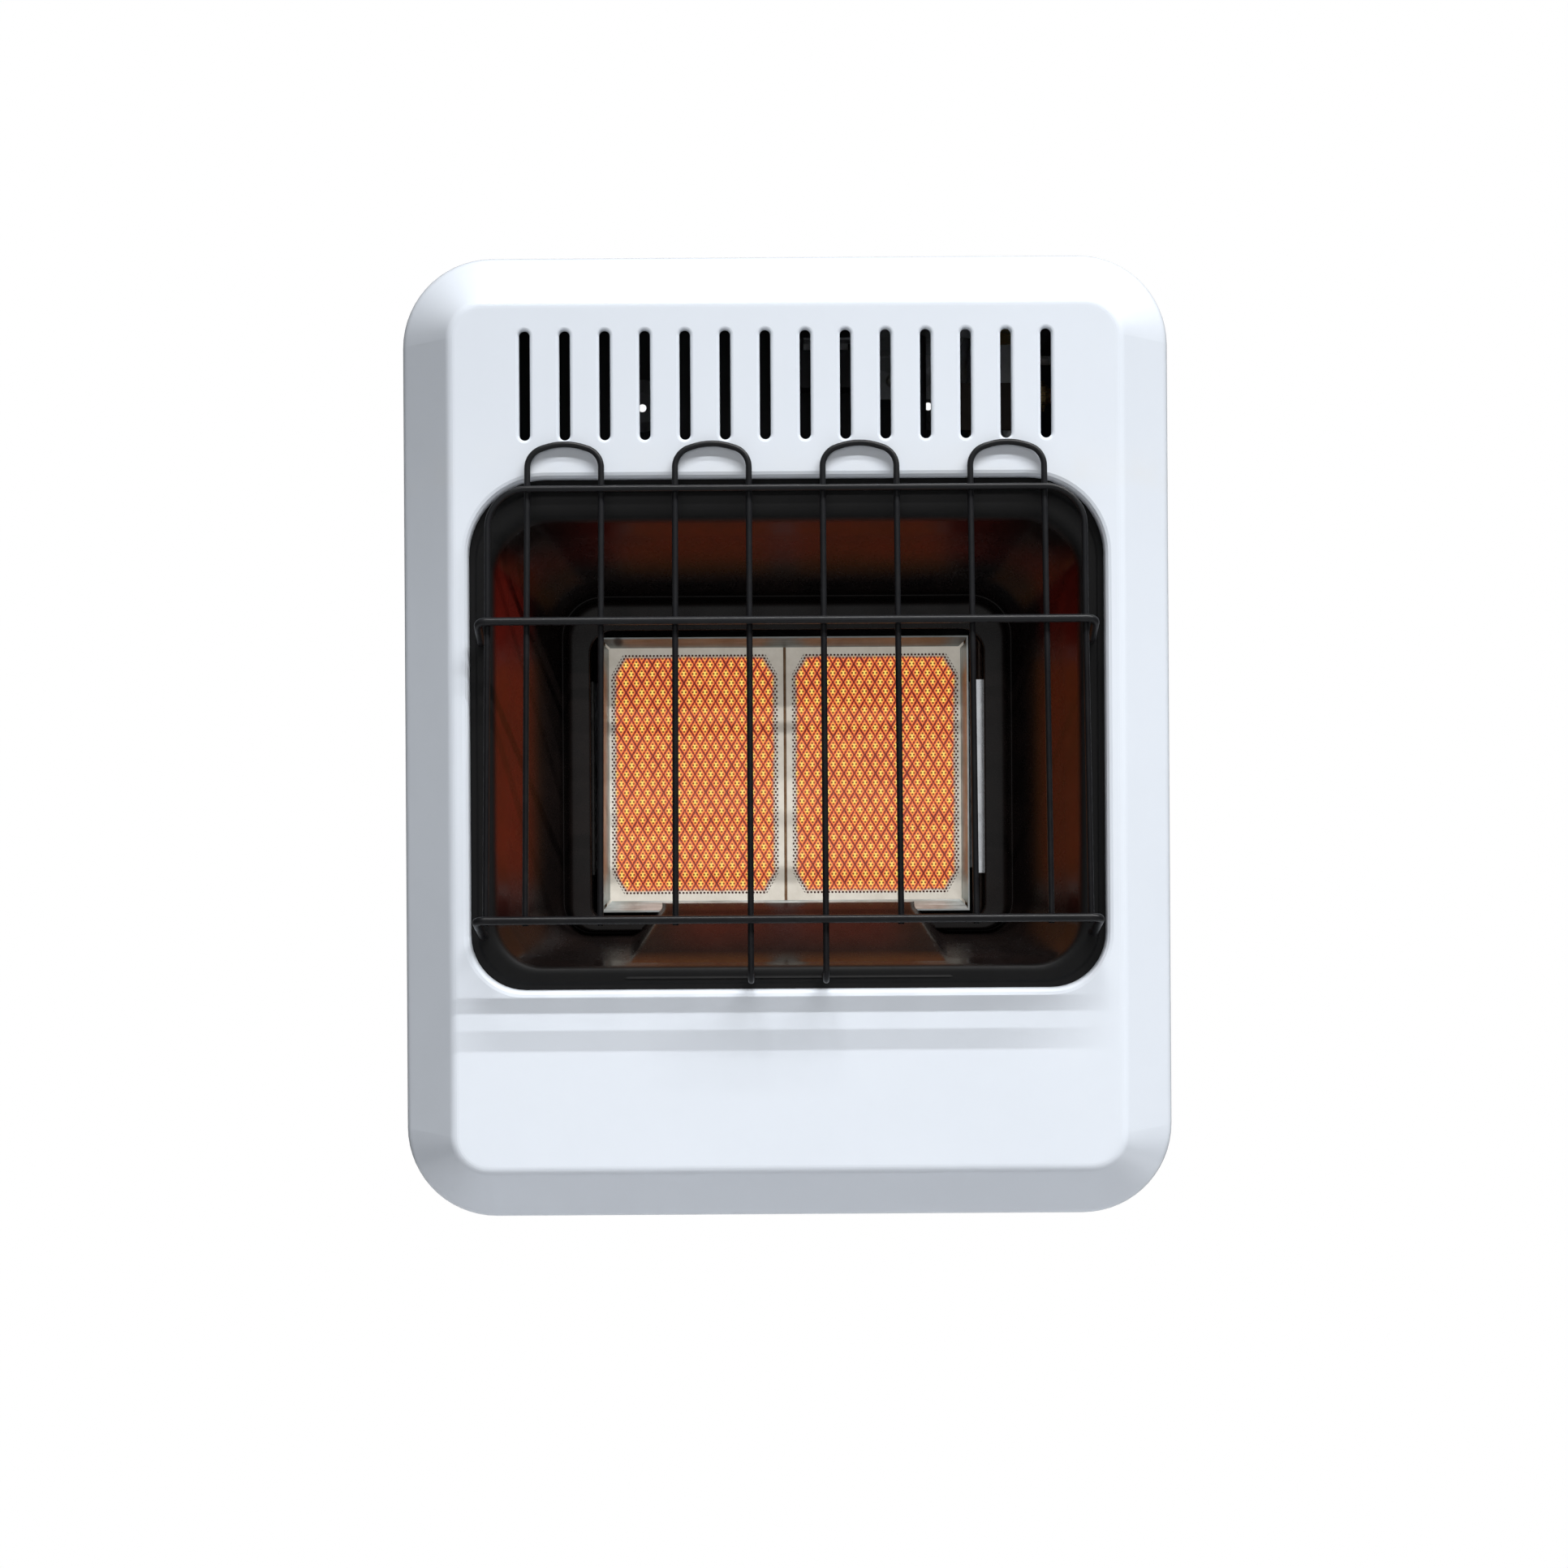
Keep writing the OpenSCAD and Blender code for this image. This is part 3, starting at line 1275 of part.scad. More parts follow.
module control_tray() {
    dial_r = knob_d / 2 + 3;
    color([0.15, 0.15, 0.16]) {
        difference() {
            union() {
                translate([0, 0, tray_floor - tray_t])
                    linear_extrude(tray_rim_top - tray_floor + tray_t) tray_outline(tray_t, tray_r + tray_t);
                translate([0, 0, tray_rim_top - tray_t])
                    linear_extrude(tray_t) tray_outline(tray_rim, tray_r + tray_rim);
            }
            translate([0, 0, tray_floor]) linear_extrude(40) tray_outline(0, tray_r);
            translate([knob_x, valve_y, tray_floor - 3]) cylinder(r = bonnet_r + slide_fit, h = 6);
            translate([igniter_x, valve_y, tray_floor - 3]) cylinder(r = neck_r + slide_fit, h = 6);
        }
        for (turn = [-90, -195, -300]) translate([knob_x, valve_y, tray_floor - eps]) rotate(turn)
            translate([dial_r, 0, 0]) cylinder(r = 1.2, h = 0.6);
    }
}

module valve_plunger() {
    color("silver") translate([knob_x, valve_y, valve_low]) {
        translate([0, 0, 10]) cylinder(r = plunger_rod_r, h = collar_low - 9);
        translate([0, 0, collar_low]) cylinder(r = plunger_collar_r, h = collar_h);
    }
}

module plunger_spring() {
    low = valve_low + valve_floor + seat;
    color("gray") translate([knob_x, valve_y, low])
        spring(4.5, 0.5, 7, valve_low + collar_low - seat - low, knob_travel);
}

module valve_spindle() {
    low = valve_low + collar_low + collar_h + seat;
    flat_low = knob_low + knob_recess - apart;
    top = knob_low + knob_h - 4;
    color("silver") translate([knob_x, valve_y, 0]) difference() {
        union() {
            translate([0, 0, low]) cylinder(r = spindle_r, h = top - low);
            translate([0, 0, valve_top - collar_h - 0.2]) cylinder(r = plunger_collar_r, h = collar_h);
        }
        translate([-5, spindle_r - 1.2, flat_low]) cube([10, 4, knob_h]);
    }
}

module control_knob() {
    r = knob_d / 2;
    skirt = [[r, 0], [r, 3], [r - 2.2, knob_h - 6], [0, knob_h - 6]];
    color([0.12, 0.12, 0.13]) translate([knob_x, valve_y, knob_low]) {
        difference() {
            union() {
                rotate_extrude() polygon(concat([[0, 0]], rounded(skirt, [2, 2.5], 4)));
                intersection() {
                    translate([-3.5, -r + 2.4, knob_h - 7]) cube([7, 2 * r - 4.8, 7]);
                    translate([0, 0, knob_h - 7]) cylinder(r1 = r, r2 = r - 4, h = 7);
                }
            }
            difference() {
                translate([0, 0, -1]) cylinder(r = r - 2.6, h = 8);
                cylinder(r = 6.5, h = 10);
            }
            translate([0, 0, -1]) cylinder(r = 7, h = knob_recess + 1);
            difference() {
                translate([0, 0, -1]) cylinder(r = spindle_r + seat, h = knob_h - 2.5);
                translate([-5, spindle_r - 1.2 + seat, -2]) cube([10, 4, knob_h]);
            }
            translate([-0.6, -r + 1.5, knob_h - 0.8]) cube([1.2, 8, 1]);
        }
    }
}

module igniter_body() {
    color([0.25, 0.25, 0.27]) translate([igniter_x, valve_y, 0]) difference() {
        union() {
            translate([0, 0, igniter_low]) cylinder(r = 9, h = shelf_z - seat - igniter_low);
            translate([0, 0, igniter_low]) cylinder(r = neck_r, h = neck_top - igniter_low);
        }
        translate([0, 0, neck_top - spring_well]) cylinder(r = spring_well_r, h = 20);
        translate([0, 0, neck_top - 32]) cylinder(r = stem_r + slide_fit, h = 40);
    }
}

module igniter_nut() {
    color("silver") translate([igniter_x, valve_y, tray_floor + seat]) difference() {
        hexagon(21, 3.2);
        translate([0, 0, -1]) cylinder(r = neck_r + slide_fit, h = 6);
    }
}

module igniter_button() {
    r = button_d / 2;
    color("firebrick") translate([igniter_x, valve_y, button_low]) {
        rotate_extrude() polygon(concat([[0, 0]], rounded([[r, 0], [r, button_h], [0, button_h]], [1.4], 4)));
        translate([0, 0, -24]) cylinder(r = stem_r, h = 24 + eps);
    }
}

module igniter_spring() {
    low = neck_top - spring_well + seat;
    color("gray") translate([igniter_x, valve_y, low])
        spring(5, 0.5, 6, button_low - seat - low, button_travel);
}

// ---------- screws ----------

module self_tapping_screws() {
    color("silver") {
        for (p = panel_screw_points) translate([p[0], panel_y - 2 * seat - p[2], p[1]])
            rotate([90, 0, 0]) screw(5);
        for (x = [-1, 1], z = box_screw_z)
            translate([burner_x + x * box_screw_x, box_back + bracket_t + 2 * seat, z])
                rotate([-90, 0, 0]) screw(5);
        for (x = pilot_screw_x) translate([x, pilot_screw_y, box_low - pilot_t - 2 * seat])
            mirror([0, 0, 1]) screw(5);
        for (z = regulator_screw_z)
            translate([inlet_x - regulator_screw_in, valve_y + regulator_half + shelf_t + 2 * seat, z])
                rotate([-90, 0, 0]) screw(4);
    }
}

module cover_screws() {
    color("silver") for (x = cover_screw_x, side = [0, 1]) mirror([0, 0, side])
        translate([x, ledge_y, half_h + seat]) screw(7);
}

// ---------- draws one node, or all of them ----------

at_case() front_cover();
at_case() back_panel();
at_case() firebox();
at_case() firebox_bracket_left();
at_case() firebox_bracket_right();
at_case() top_heat_shield();
at_case() guard_frame_wire();
at_case() guard_arch_left_outer();
at_case() guard_arch_left_inner();
at_case() guard_arch_right_inner();
at_case() guard_arch_right_outer();
at_case() guard_mid_bar();
at_case() guard_bottom_bar();
at_case() burner_frame();
at_case() ceramic_plaque_left();
at_case() ceramic_plaque_right();
at_case() plaque_gasket();
at_case() burner_box();
at_case() burner_bracket_left();
at_case() burner_bracket_right();
at_case() mixing_tube();
at_case() injector_bracket();
at_case() injector_holder();
at_case() injector();
at_case() pilot_bracket();
at_case() pilot_burner();
at_case() thermocouple();
at_case() thermocouple_nut();
at_case() thermocouple_lead();
at_case() spark_electrode();
at_case() electrode_tip();
at_case() igniter_cable();
at_case() pilot_tube();
at_case() pilot_tube_nuts();
at_case() main_gas_tube();
at_case() main_tube_nuts();
at_case() inlet_gas_tube();
at_case() inlet_tube_nuts();
at_case() regulator_body();
at_case() regulator_cap();
at_case() regulator_bracket();
at_case() inlet_fitting();
at_case() gas_valve_body();
at_case() valve_cover_plate();
at_case() valve_bonnet();
at_case() test_nipple();
at_case() valve_bracket();
at_case() valve_plunger();
at_case() plunger_spring();
at_case() valve_spindle();
at_case() control_knob();
at_case() control_tray();
at_case() igniter_body();
at_case() igniter_nut();
at_case() igniter_button();
at_case() igniter_spring();
at_case() overheat_cutout();
at_case() self_tapping_screws();
at_case() cover_screws();
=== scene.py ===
import json
import math

import bpy
import numpy as np
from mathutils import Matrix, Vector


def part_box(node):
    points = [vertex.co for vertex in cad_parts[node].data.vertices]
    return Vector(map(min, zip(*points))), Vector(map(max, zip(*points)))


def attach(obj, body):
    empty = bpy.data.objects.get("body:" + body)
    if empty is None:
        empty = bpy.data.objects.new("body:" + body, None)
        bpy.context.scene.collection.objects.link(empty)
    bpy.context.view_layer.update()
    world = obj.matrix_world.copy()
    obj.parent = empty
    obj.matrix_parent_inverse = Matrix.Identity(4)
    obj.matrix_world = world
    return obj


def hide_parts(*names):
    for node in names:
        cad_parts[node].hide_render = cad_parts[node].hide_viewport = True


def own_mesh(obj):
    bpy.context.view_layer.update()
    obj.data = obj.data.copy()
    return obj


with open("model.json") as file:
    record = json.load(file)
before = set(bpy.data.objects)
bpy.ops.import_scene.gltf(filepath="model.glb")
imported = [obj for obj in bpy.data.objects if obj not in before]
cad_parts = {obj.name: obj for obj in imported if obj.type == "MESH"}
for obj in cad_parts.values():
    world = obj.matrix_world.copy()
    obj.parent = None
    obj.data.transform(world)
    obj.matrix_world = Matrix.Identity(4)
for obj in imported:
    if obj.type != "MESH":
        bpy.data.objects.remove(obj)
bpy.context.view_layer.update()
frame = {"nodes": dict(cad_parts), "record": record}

# ---------- sizes, in millimetres from the middle of the case ----------

MID_Z = -0.185              # the case's middle in the row frame, in metres
PANEL_Y = -9.0              # the back panel's face towards the room
BURNER_X, BURNER_Z = -1.2, -19.7
FRAME_X, FRAME_Z = 91.5, 66.0                   # half sizes of the opening between the stainless flaps
PLAQUE_STEP = 46.75         # from the burner's middle to a plaque's middle
FIELD_X, FIELD_Z = 43.2, 62.2                   # half sizes of a plaque's perforated field
CORNER_X, CORNER_Z = 6.4, 11.0                  # how much of each corner of the field is cut off
CORNER_DEPTH = 6.0                              # about how far the cut lies from the field's own corner
CELL_X, CELL_Z = 5.45, 9.45                     # one diamond of the quilted face
HOLE_PITCH, HOLE_ROW = CELL_X / 3, CELL_Z / 6
HOLE_CORE, HOLE_EDGE = 0.44, 0.64               # radii where a hole starts to pale and where it ends
KNOB = (112.0, -70.0)       # axes of the two controls, x and y
IGNITER = (66.0, -70.0)
KNOB_TOP = 233.0            # foot of the pointer's ridge on the knob
POINTER_NEAR, POINTER_FAR = 5.0, 15.5           # ends of the pointer, in front of the knob's axis
NIPPLE_X, NIPPLE_Z = 126.0, 196.7               # the end of the test nipple painted white as painted light: its root, its band
SMUDGE = (-87.0, 0.0, 49.0)                     # a smudge on the frame, given at y 0


def metres(x, y, z):
    """A point given from the case's middle in millimetres, in the row frame."""
    return x / 1000, y / 1000, z / 1000 + MID_Z


# ---------- node materials ----------

class Paint:
    """One node material. Its helpers add a node and return that node's output socket."""

    def __init__(self, name):
        self.material = bpy.data.materials.new(name)
        self.material.use_nodes = True
        self.tree = self.material.node_tree
        self.tree.nodes.clear()
        out = self.tree.nodes.new("ShaderNodeOutputMaterial")
        self.shader = self.tree.nodes.new("ShaderNodeBsdfPrincipled")
        self.tree.links.new(self.shader.outputs["BSDF"], out.inputs["Surface"])
        self.place = self.tree.nodes.new("ShaderNodeTexCoord").outputs["Object"]

    def feed(self, socket, value):
        if isinstance(value, bpy.types.NodeSocket):
            self.tree.links.new(value, socket)
        elif isinstance(value, tuple) and len(value) == 3 and socket.type == "RGBA":
            socket.default_value = (*value, 1.0)
        else:
            socket.default_value = value

    def set(self, **values):
        """Feeds the shader's sockets, named with an underscore for each space."""
        for key, value in values.items():
            self.feed(self.shader.inputs[key.replace("_", " ")], value)

    def math(self, operation, *values):
        node = self.tree.nodes.new("ShaderNodeMath")
        node.operation = operation
        for socket, value in zip(node.inputs, values):
            self.feed(socket, value)
        return node.outputs[0]

    def times(self, product, *others):
        """The product of all the values."""
        for other in others:
            product = self.math("MULTIPLY", product, other)
        return product

    def flip(self, value):
        """One less the value."""
        return self.math("SUBTRACT", 1.0, value)

    def away(self, value, centre=0.0):
        """How far the value is from the centre."""
        return self.math("ABSOLUTE", self.math("SUBTRACT", value, centre))

    def vector(self, operation, *values):
        node = self.tree.nodes.new("ShaderNodeVectorMath")
        node.operation = operation
        for socket, value in zip(node.inputs, values):
            self.feed(socket, value)
        return node.outputs["Value" if operation == "DISTANCE" else "Vector"]

    def axes(self):
        """The three coordinates in millimetres from the case's middle."""
        moved = self.vector("SUBTRACT", self.place, (0.0, 0.0, MID_Z))
        node = self.tree.nodes.new("ShaderNodeSeparateXYZ")
        self.feed(node.inputs[0], self.vector("MULTIPLY", moved, (1000.0, 1000.0, 1000.0)))
        return node.outputs

    def joined(self, x, y, z):
        node = self.tree.nodes.new("ShaderNodeCombineXYZ")
        for socket, value in zip(node.inputs, (x, y, z)):
            self.feed(socket, value)
        return node.outputs[0]

    def noise(self, size, detail=2.0, roughness=0.5, stretch=None, shift=0.0):
        """Smooth noise with features of about the given size in millimetres."""
        place = self.place
        if stretch is not None:
            place = self.vector("MULTIPLY", place, stretch)
        if shift:
            place = self.vector("ADD", place, (shift, shift, shift))
        node = self.tree.nodes.new("ShaderNodeTexNoise")
        self.feed(node.inputs["Vector"], place)
        self.feed(node.inputs["Scale"], 1000.0 / size)
        self.feed(node.inputs["Detail"], detail)
        self.feed(node.inputs["Roughness"], roughness)
        return node.outputs["Fac"]

    def cells(self, size):
        """A grey of its own for each cell of about the given size in millimetres."""
        node = self.tree.nodes.new("ShaderNodeTexVoronoi")
        self.feed(node.inputs["Vector"], self.place)
        self.feed(node.inputs["Scale"], 1000.0 / size)
        split = self.tree.nodes.new("ShaderNodeSeparateColor")
        self.feed(split.inputs[0], node.outputs["Color"])
        return split.outputs[0]

    def span(self, value, low, high, to_low=0.0, to_high=1.0, smooth=False):
        """The value moved from one range to another and held inside it."""
        node = self.tree.nodes.new("ShaderNodeMapRange")
        node.interpolation_type = "SMOOTHSTEP" if smooth else "LINEAR"
        for socket, v in zip(node.inputs, (value, low, high, to_low, to_high)):
            self.feed(socket, v)
        return node.outputs[0]

    def uneven(self, size, shift, low, high, detail=4.0):
        """A roughness that wanders between two values, in patches of about the given size."""
        return self.span(self.noise(size, detail, 0.6, shift=shift), 0.3, 0.7, low, high)

    def mix(self, factor, a, b):
        node = self.tree.nodes.new("ShaderNodeMix")
        node.data_type = "RGBA"
        for index, value in zip((0, 6, 7), (factor, a, b)):
            self.feed(node.inputs[index], value)
        return node.outputs[2]

    def ramp(self, factor, *stops):
        node = self.tree.nodes.new("ShaderNodeValToRGB")
        self.feed(node.inputs[0], factor)
        ramp = node.color_ramp
        while len(ramp.elements) < len(stops):
            ramp.elements.new(0.5)
        for element, (position, colour) in zip(ramp.elements, stops):
            element.position = position
            element.color = (*colour, 1.0)
        return node.outputs[0]

    def bump(self, *layers):
        """Stacks bumps, each a height socket and its depth in millimetres."""
        normal = None
        for height, depth in layers:
            node = self.tree.nodes.new("ShaderNodeBump")
            node.inputs["Strength"].default_value = 1.0
            node.inputs["Distance"].default_value = depth / 1000
            self.feed(node.inputs["Height"], height)
            if normal is not None:
                self.feed(node.inputs["Normal"], normal)
            normal = node.outputs[0]
        self.set(Normal=normal)


def plain(name, colour, rough, metal=0.0, specular=0.5, tint=None, tint_size=40.0, grain=1.2, depth=0.02,
          spread=0.06, coat=0.0, dust=0.0):
    """The common finish: a tint in large patches, a grain in the relief and an uneven roughness."""
    p = Paint(name)
    tint = tuple(c * 0.82 for c in colour) if tint is None else tint
    patches = p.span(p.noise(tint_size, 4.0, 0.6), 0.36, 0.68)
    base = p.mix(patches, colour, tint)
    if dust:
        settled = p.times(p.span(p.noise(9.0, 5.0, 0.7, shift=3.0), 0.45, 0.8), dust)
        base = p.mix(settled, base, (0.30, 0.27, 0.24))
    roughness = p.uneven(6.0, 7.0, rough - spread, rough + spread, detail=3.0)
    p.set(Base_Color=base, Metallic=metal, Roughness=roughness, Specular_IOR_Level=specular,
          Coat_Weight=coat, Coat_Roughness=0.08)
    p.bump((p.noise(grain, 3.0, 0.55, shift=11.0), depth))
    return p.material


def enamel(name):
    """Gloss white stove enamel with a slight orange peel, painted shade towards the top left, warm marks and
    soft dust.
    """
    p = Paint(name)
    x, y, z = p.axes()
    patches = p.span(p.noise(70.0, 4.0, 0.6), 0.35, 0.65)
    base = p.mix(patches, (0.748, 0.797, 0.864), (0.734, 0.783, 0.850))
    # painted shade: the face is darkened towards the top and the left; the marks lie just over the opening
    painted_shade_top_left = p.times(p.span(z, 20.0, 190.0, smooth=True), p.span(x, 170.0, -150.0, 0.35, 1.0))
    base = p.mix(painted_shade_top_left, base, (0.655, 0.700, 0.762))
    heat = p.times(p.span(z, 128.0, 150.0, 1.0, 0.0, smooth=True), p.span(z, 118.0, 126.0, smooth=True))
    warm = p.times(heat, p.span(p.noise(30.0, 4.0, 0.6, shift=5.0), 0.40, 0.75, 0.0, 0.30))
    base = p.mix(warm, base, (0.735, 0.735, 0.720))
    dust = p.span(p.noise(2.2, 6.0, 0.75, shift=9.0), 0.62, 0.85, 0.0, 0.10)
    base = p.mix(dust, base, (0.60, 0.60, 0.58))
    p.set(Base_Color=base, Roughness=p.uneven(12.0, 2.0, 0.20, 0.27), Specular_IOR_Level=0.5,
          Coat_Weight=0.35, Coat_Roughness=0.09)
    p.bump((p.noise(5.0, 2.0, 0.5, shift=4.0), 0.010), (p.noise(0.8, 2.0, 0.5), 0.0018))
    return p.material


def panel_grey(name):
    """Grey primer on the back panel: dusty and rubbed outside, darkened inside the case."""
    p = Paint(name)
    x, y, z = p.axes()
    outside = p.span(y, PANEL_Y + 0.1, PANEL_Y + 0.5)
    patches = p.span(p.noise(55.0, 5.0, 0.6), 0.36, 0.68)
    base = p.mix(patches, (0.225, 0.228, 0.235), (0.262, 0.264, 0.268))
    rubbed = p.span(p.noise(16.0, 6.0, 0.75, stretch=(1.0, 1.0, 0.25), shift=3.0), 0.60, 0.78, 0.0, 0.45)
    base = p.mix(rubbed, base, (0.37, 0.37, 0.365))
    base = p.mix(outside, (0.030, 0.030, 0.032), base)
    p.set(Base_Color=base, Roughness=p.uneven(8.0, 7.0, 0.40, 0.56), Specular_IOR_Level=0.4)
    p.bump((p.noise(60.0, 2.0, 0.5, shift=5.0), 0.25), (p.noise(0.9, 3.0, 0.55, shift=11.0), 0.025))
    return p.material


def firebox_black(name):
    """Heat-resistant black: satin walls and a rougher bezel, with a dull red painted reflection of the
    burner's glow on the walls and the ramp.
    """
    p = Paint(name)
    x, y, z = p.axes()
    # the flat bezel round the mouth, and a bloom in patches
    bezel = p.span(y, -156.5, -160.8, smooth=True)
    bloom = p.span(p.noise(26.0, 5.0, 0.65), 0.42, 0.72)
    base = p.mix(bloom, (0.0048, 0.0036, 0.0034), (0.0085, 0.0056, 0.0050))
    # painted reflection of the burner's glow, in a dull red: the front half of the upper walls, but not their
    # top corners
    wall = p.times(p.span(y, -124.0, -142.0, smooth=True), p.span(z, -100.0, -50.0, smooth=True))
    corner = p.times(p.span(z, 78.0, 98.0, smooth=True), p.span(p.away(x), 60.0, 130.0, smooth=True))
    wall = p.times(wall, p.flip(corner))
    # and the ramp, less strongly
    hump = p.times(p.span(z, -112.0, -96.0, smooth=True), p.span(z, -84.0, -88.0),
                   p.span(p.away(x), 72.0, 40.0, smooth=True))
    glow_reflection = p.math("MAXIMUM", wall, p.times(hump, 0.3))
    glow_reflection = p.times(glow_reflection, p.span(bloom, 0.0, 1.0, 0.75, 1.1))
    base = p.mix(glow_reflection, base, (0.066, 0.0055, 0.0034))
    base = p.mix(bezel, base, (0.0026, 0.0026, 0.0028))
    rough = p.uneven(7.0, 3.0, 0.25, 0.30)
    # the bend between the walls and the bezel is the smoothest
    bend = p.times(p.span(y, -147.0, -152.0, smooth=True), p.flip(bezel))
    rough = p.math("ADD", rough, p.times(bend, -0.12))
    rough = p.math("ADD", rough, p.times(bezel, 0.34))
    p.set(Base_Color=base, Roughness=rough, Specular_IOR_Level=0.19)
    fine = p.noise(0.9, 3.0, 0.6, shift=8.0)
    waves = p.noise(5.5, 3.0, 0.55, shift=1.0)
    p.bump((waves, 0.030), (p.times(fine, p.span(bezel, 0.0, 1.0, 0.3, 1.0)), 0.030))
    return p.material


def guard_black(name):
    """Satin black wire paint, a little lighter in the upper half and darker below."""
    p = Paint(name)
    x, y, z = p.axes()
    upper = p.span(z, 30.0, 60.0, smooth=True)
    worn = p.span(p.noise(14.0, 5.0, 0.7), 0.45, 0.75)
    base = p.mix(upper, (0.0045, 0.0045, 0.0055), (0.009, 0.0095, 0.011))
    base = p.mix(p.times(worn, 0.4), base, (0.015, 0.015, 0.015))
    p.set(Base_Color=base, Roughness=p.uneven(4.0, 6.0, 0.32, 0.46), Specular_IOR_Level=0.20)
    p.bump((p.noise(1.1, 4.0, 0.6, shift=2.0), 0.030))
    return p.material


def stainless(name):
    """Rolled stainless strip with lines along each limb, a dull heat tint, a darker upper limb, a smudge."""
    p = Paint(name)
    x, y, z = p.axes()
    u, v = p.away(x, BURNER_X), p.away(z, BURNER_Z)
    # the flaps over and under the burner, up to the mitres
    level = p.math("GREATER_THAN", p.math("SUBTRACT", v, FRAME_Z), p.math("SUBTRACT", u, FRAME_X))
    across = p.noise(14.0, 4.0, 0.6, stretch=(1.0, 1.0, 34.0))
    upright = p.noise(14.0, 4.0, 0.6, stretch=(34.0, 1.0, 1.0))
    lines = p.math("ADD", p.times(across, level), p.times(upright, p.flip(level)))
    base = p.mix(p.span(lines, 0.3, 0.7), (0.34, 0.37, 0.37), (0.56, 0.59, 0.59))
    tint = p.span(p.noise(22.0, 5.0, 0.65, shift=4.0), 0.42, 0.74, 0.0, 0.8)
    base = p.mix(tint, base, (0.25, 0.26, 0.24))
    upper = p.span(z, BURNER_Z + FRAME_Z - 2.0, BURNER_Z + FRAME_Z + 1.0, 0.0, 0.6)
    base = p.mix(upper, base, (0.12, 0.125, 0.12))
    smudge = p.span(p.vector("DISTANCE", p.joined(x, 0.0, z), SMUDGE), 1.2, 3.4, 0.85, 0.0, smooth=True)
    base = p.mix(smudge, base, (0.05, 0.045, 0.045))
    p.set(Base_Color=base, Metallic=0.9, Roughness=p.span(lines, 0.3, 0.7, 0.30, 0.44))
    p.bump((lines, 0.012), (p.noise(8.0, 3.0, 0.5, shift=7.0), 0.05))
    return p.material


def galvanised(name):
    """Zinc-coated sheet with spangle and dull patches, with painted shade left of the burner and painted
    light, brighter and glossier, on its right.
    """
    p = Paint(name)
    flake = p.cells(7.0)
    base = p.mix(flake, (0.44, 0.46, 0.48), (0.60, 0.62, 0.64))
    dull = p.span(p.noise(30.0, 5.0, 0.65), 0.42, 0.72, 0.0, 0.6)
    base = p.mix(dull, base, (0.38, 0.37, 0.35))
    x, y, z = p.axes()
    # painted shade: left of the burner the sheet is darkened almost to black and made less metallic
    painted_shade_left = p.times(p.span(x, -78.0, -92.0), p.span(x, -118.0, -112.0), p.span(y, -60.0, -85.0))
    base = p.mix(painted_shade_left, base, (0.012, 0.011, 0.010))
    # painted light: right of the burner the sheet is brighter and glossier
    painted_light_right = p.span(x, 94.0, 96.0)
    base = p.mix(painted_light_right, base, (0.56, 0.575, 0.60))
    rough = p.math("ADD", p.span(flake, 0.0, 1.0, 0.30, 0.44), p.times(dull, 0.2))
    rough = p.times(rough, p.span(painted_light_right, 0.0, 1.0, 1.0, 0.5))
    metal = p.math("SUBTRACT", 0.85, p.times(painted_shade_left, 0.7))
    p.set(Base_Color=base, Metallic=metal, Roughness=rough)
    p.bump((flake, 0.004), (p.noise(1.5, 3.0, 0.6, shift=3.0), 0.008))
    return p.material


def turned(name, colour, dark, rough=0.28, grain=0.30, beside_shade=0.0):
    """Turned or drawn bar stock: fine rings, dark tarnish, painted shade beside the burner, a test nipple
    painted white as painted light.
    """
    p = Paint(name)
    x, y, z = p.axes()
    # painted shade: beside the burner the bar is darkened almost to black and made less metallic
    beside = p.times(p.span(z, 60.0, 48.0, smooth=True), p.span(x, 90.0, 96.0, 0.0, beside_shade))
    rings = p.noise(6.0, 3.0, 0.6, stretch=(1.0, 1.0, 24.0))
    tarnish = p.span(p.noise(11.0, 6.0, 0.7, shift=5.0), 0.44, 0.74)
    base = p.mix(beside, p.mix(tarnish, colour, dark), (0.014, 0.012, 0.011))
    # painted light: the end of the test nipple is painted near white and less metallic
    nipple_light = p.times(p.span(x, NIPPLE_X, NIPPLE_X + 1.0), p.span(p.away(z, NIPPLE_Z), 6.5, 7.5, 1.0, 0.0),
                       p.span(tarnish, 0.0, 1.0, 1.0, 0.8))
    base = p.mix(nipple_light, base, (0.92, 0.91, 0.90))
    shade_and_light = p.times(p.math("MAXIMUM", beside, nipple_light), 0.85)
    fine = p.span(rings, 0.3, 0.7, rough - 0.06, rough + 0.06)
    p.set(Base_Color=base, Metallic=p.flip(shade_and_light),
          Roughness=p.math("ADD", fine, p.times(tarnish, 0.16)))
    p.bump((rings, 0.010), (p.noise(grain, 3.0, 0.6), 0.004))
    return p.material


def nearest(p, value, step):
    """Distance from the value to the nearest multiple of the step."""
    turns = p.math("ROUND", p.math("DIVIDE", value, step))
    return p.away(value, p.times(turns, step))


def lattice(p, u, v):
    """Distance to the nearest point of a rectangular lattice of holes."""
    across, up = nearest(p, u, HOLE_PITCH), nearest(p, v, 2 * HOLE_ROW)
    return p.math("POWER", p.math("ADD", p.math("POWER", across, 2.0), p.math("POWER", up, 2.0)), 0.5)


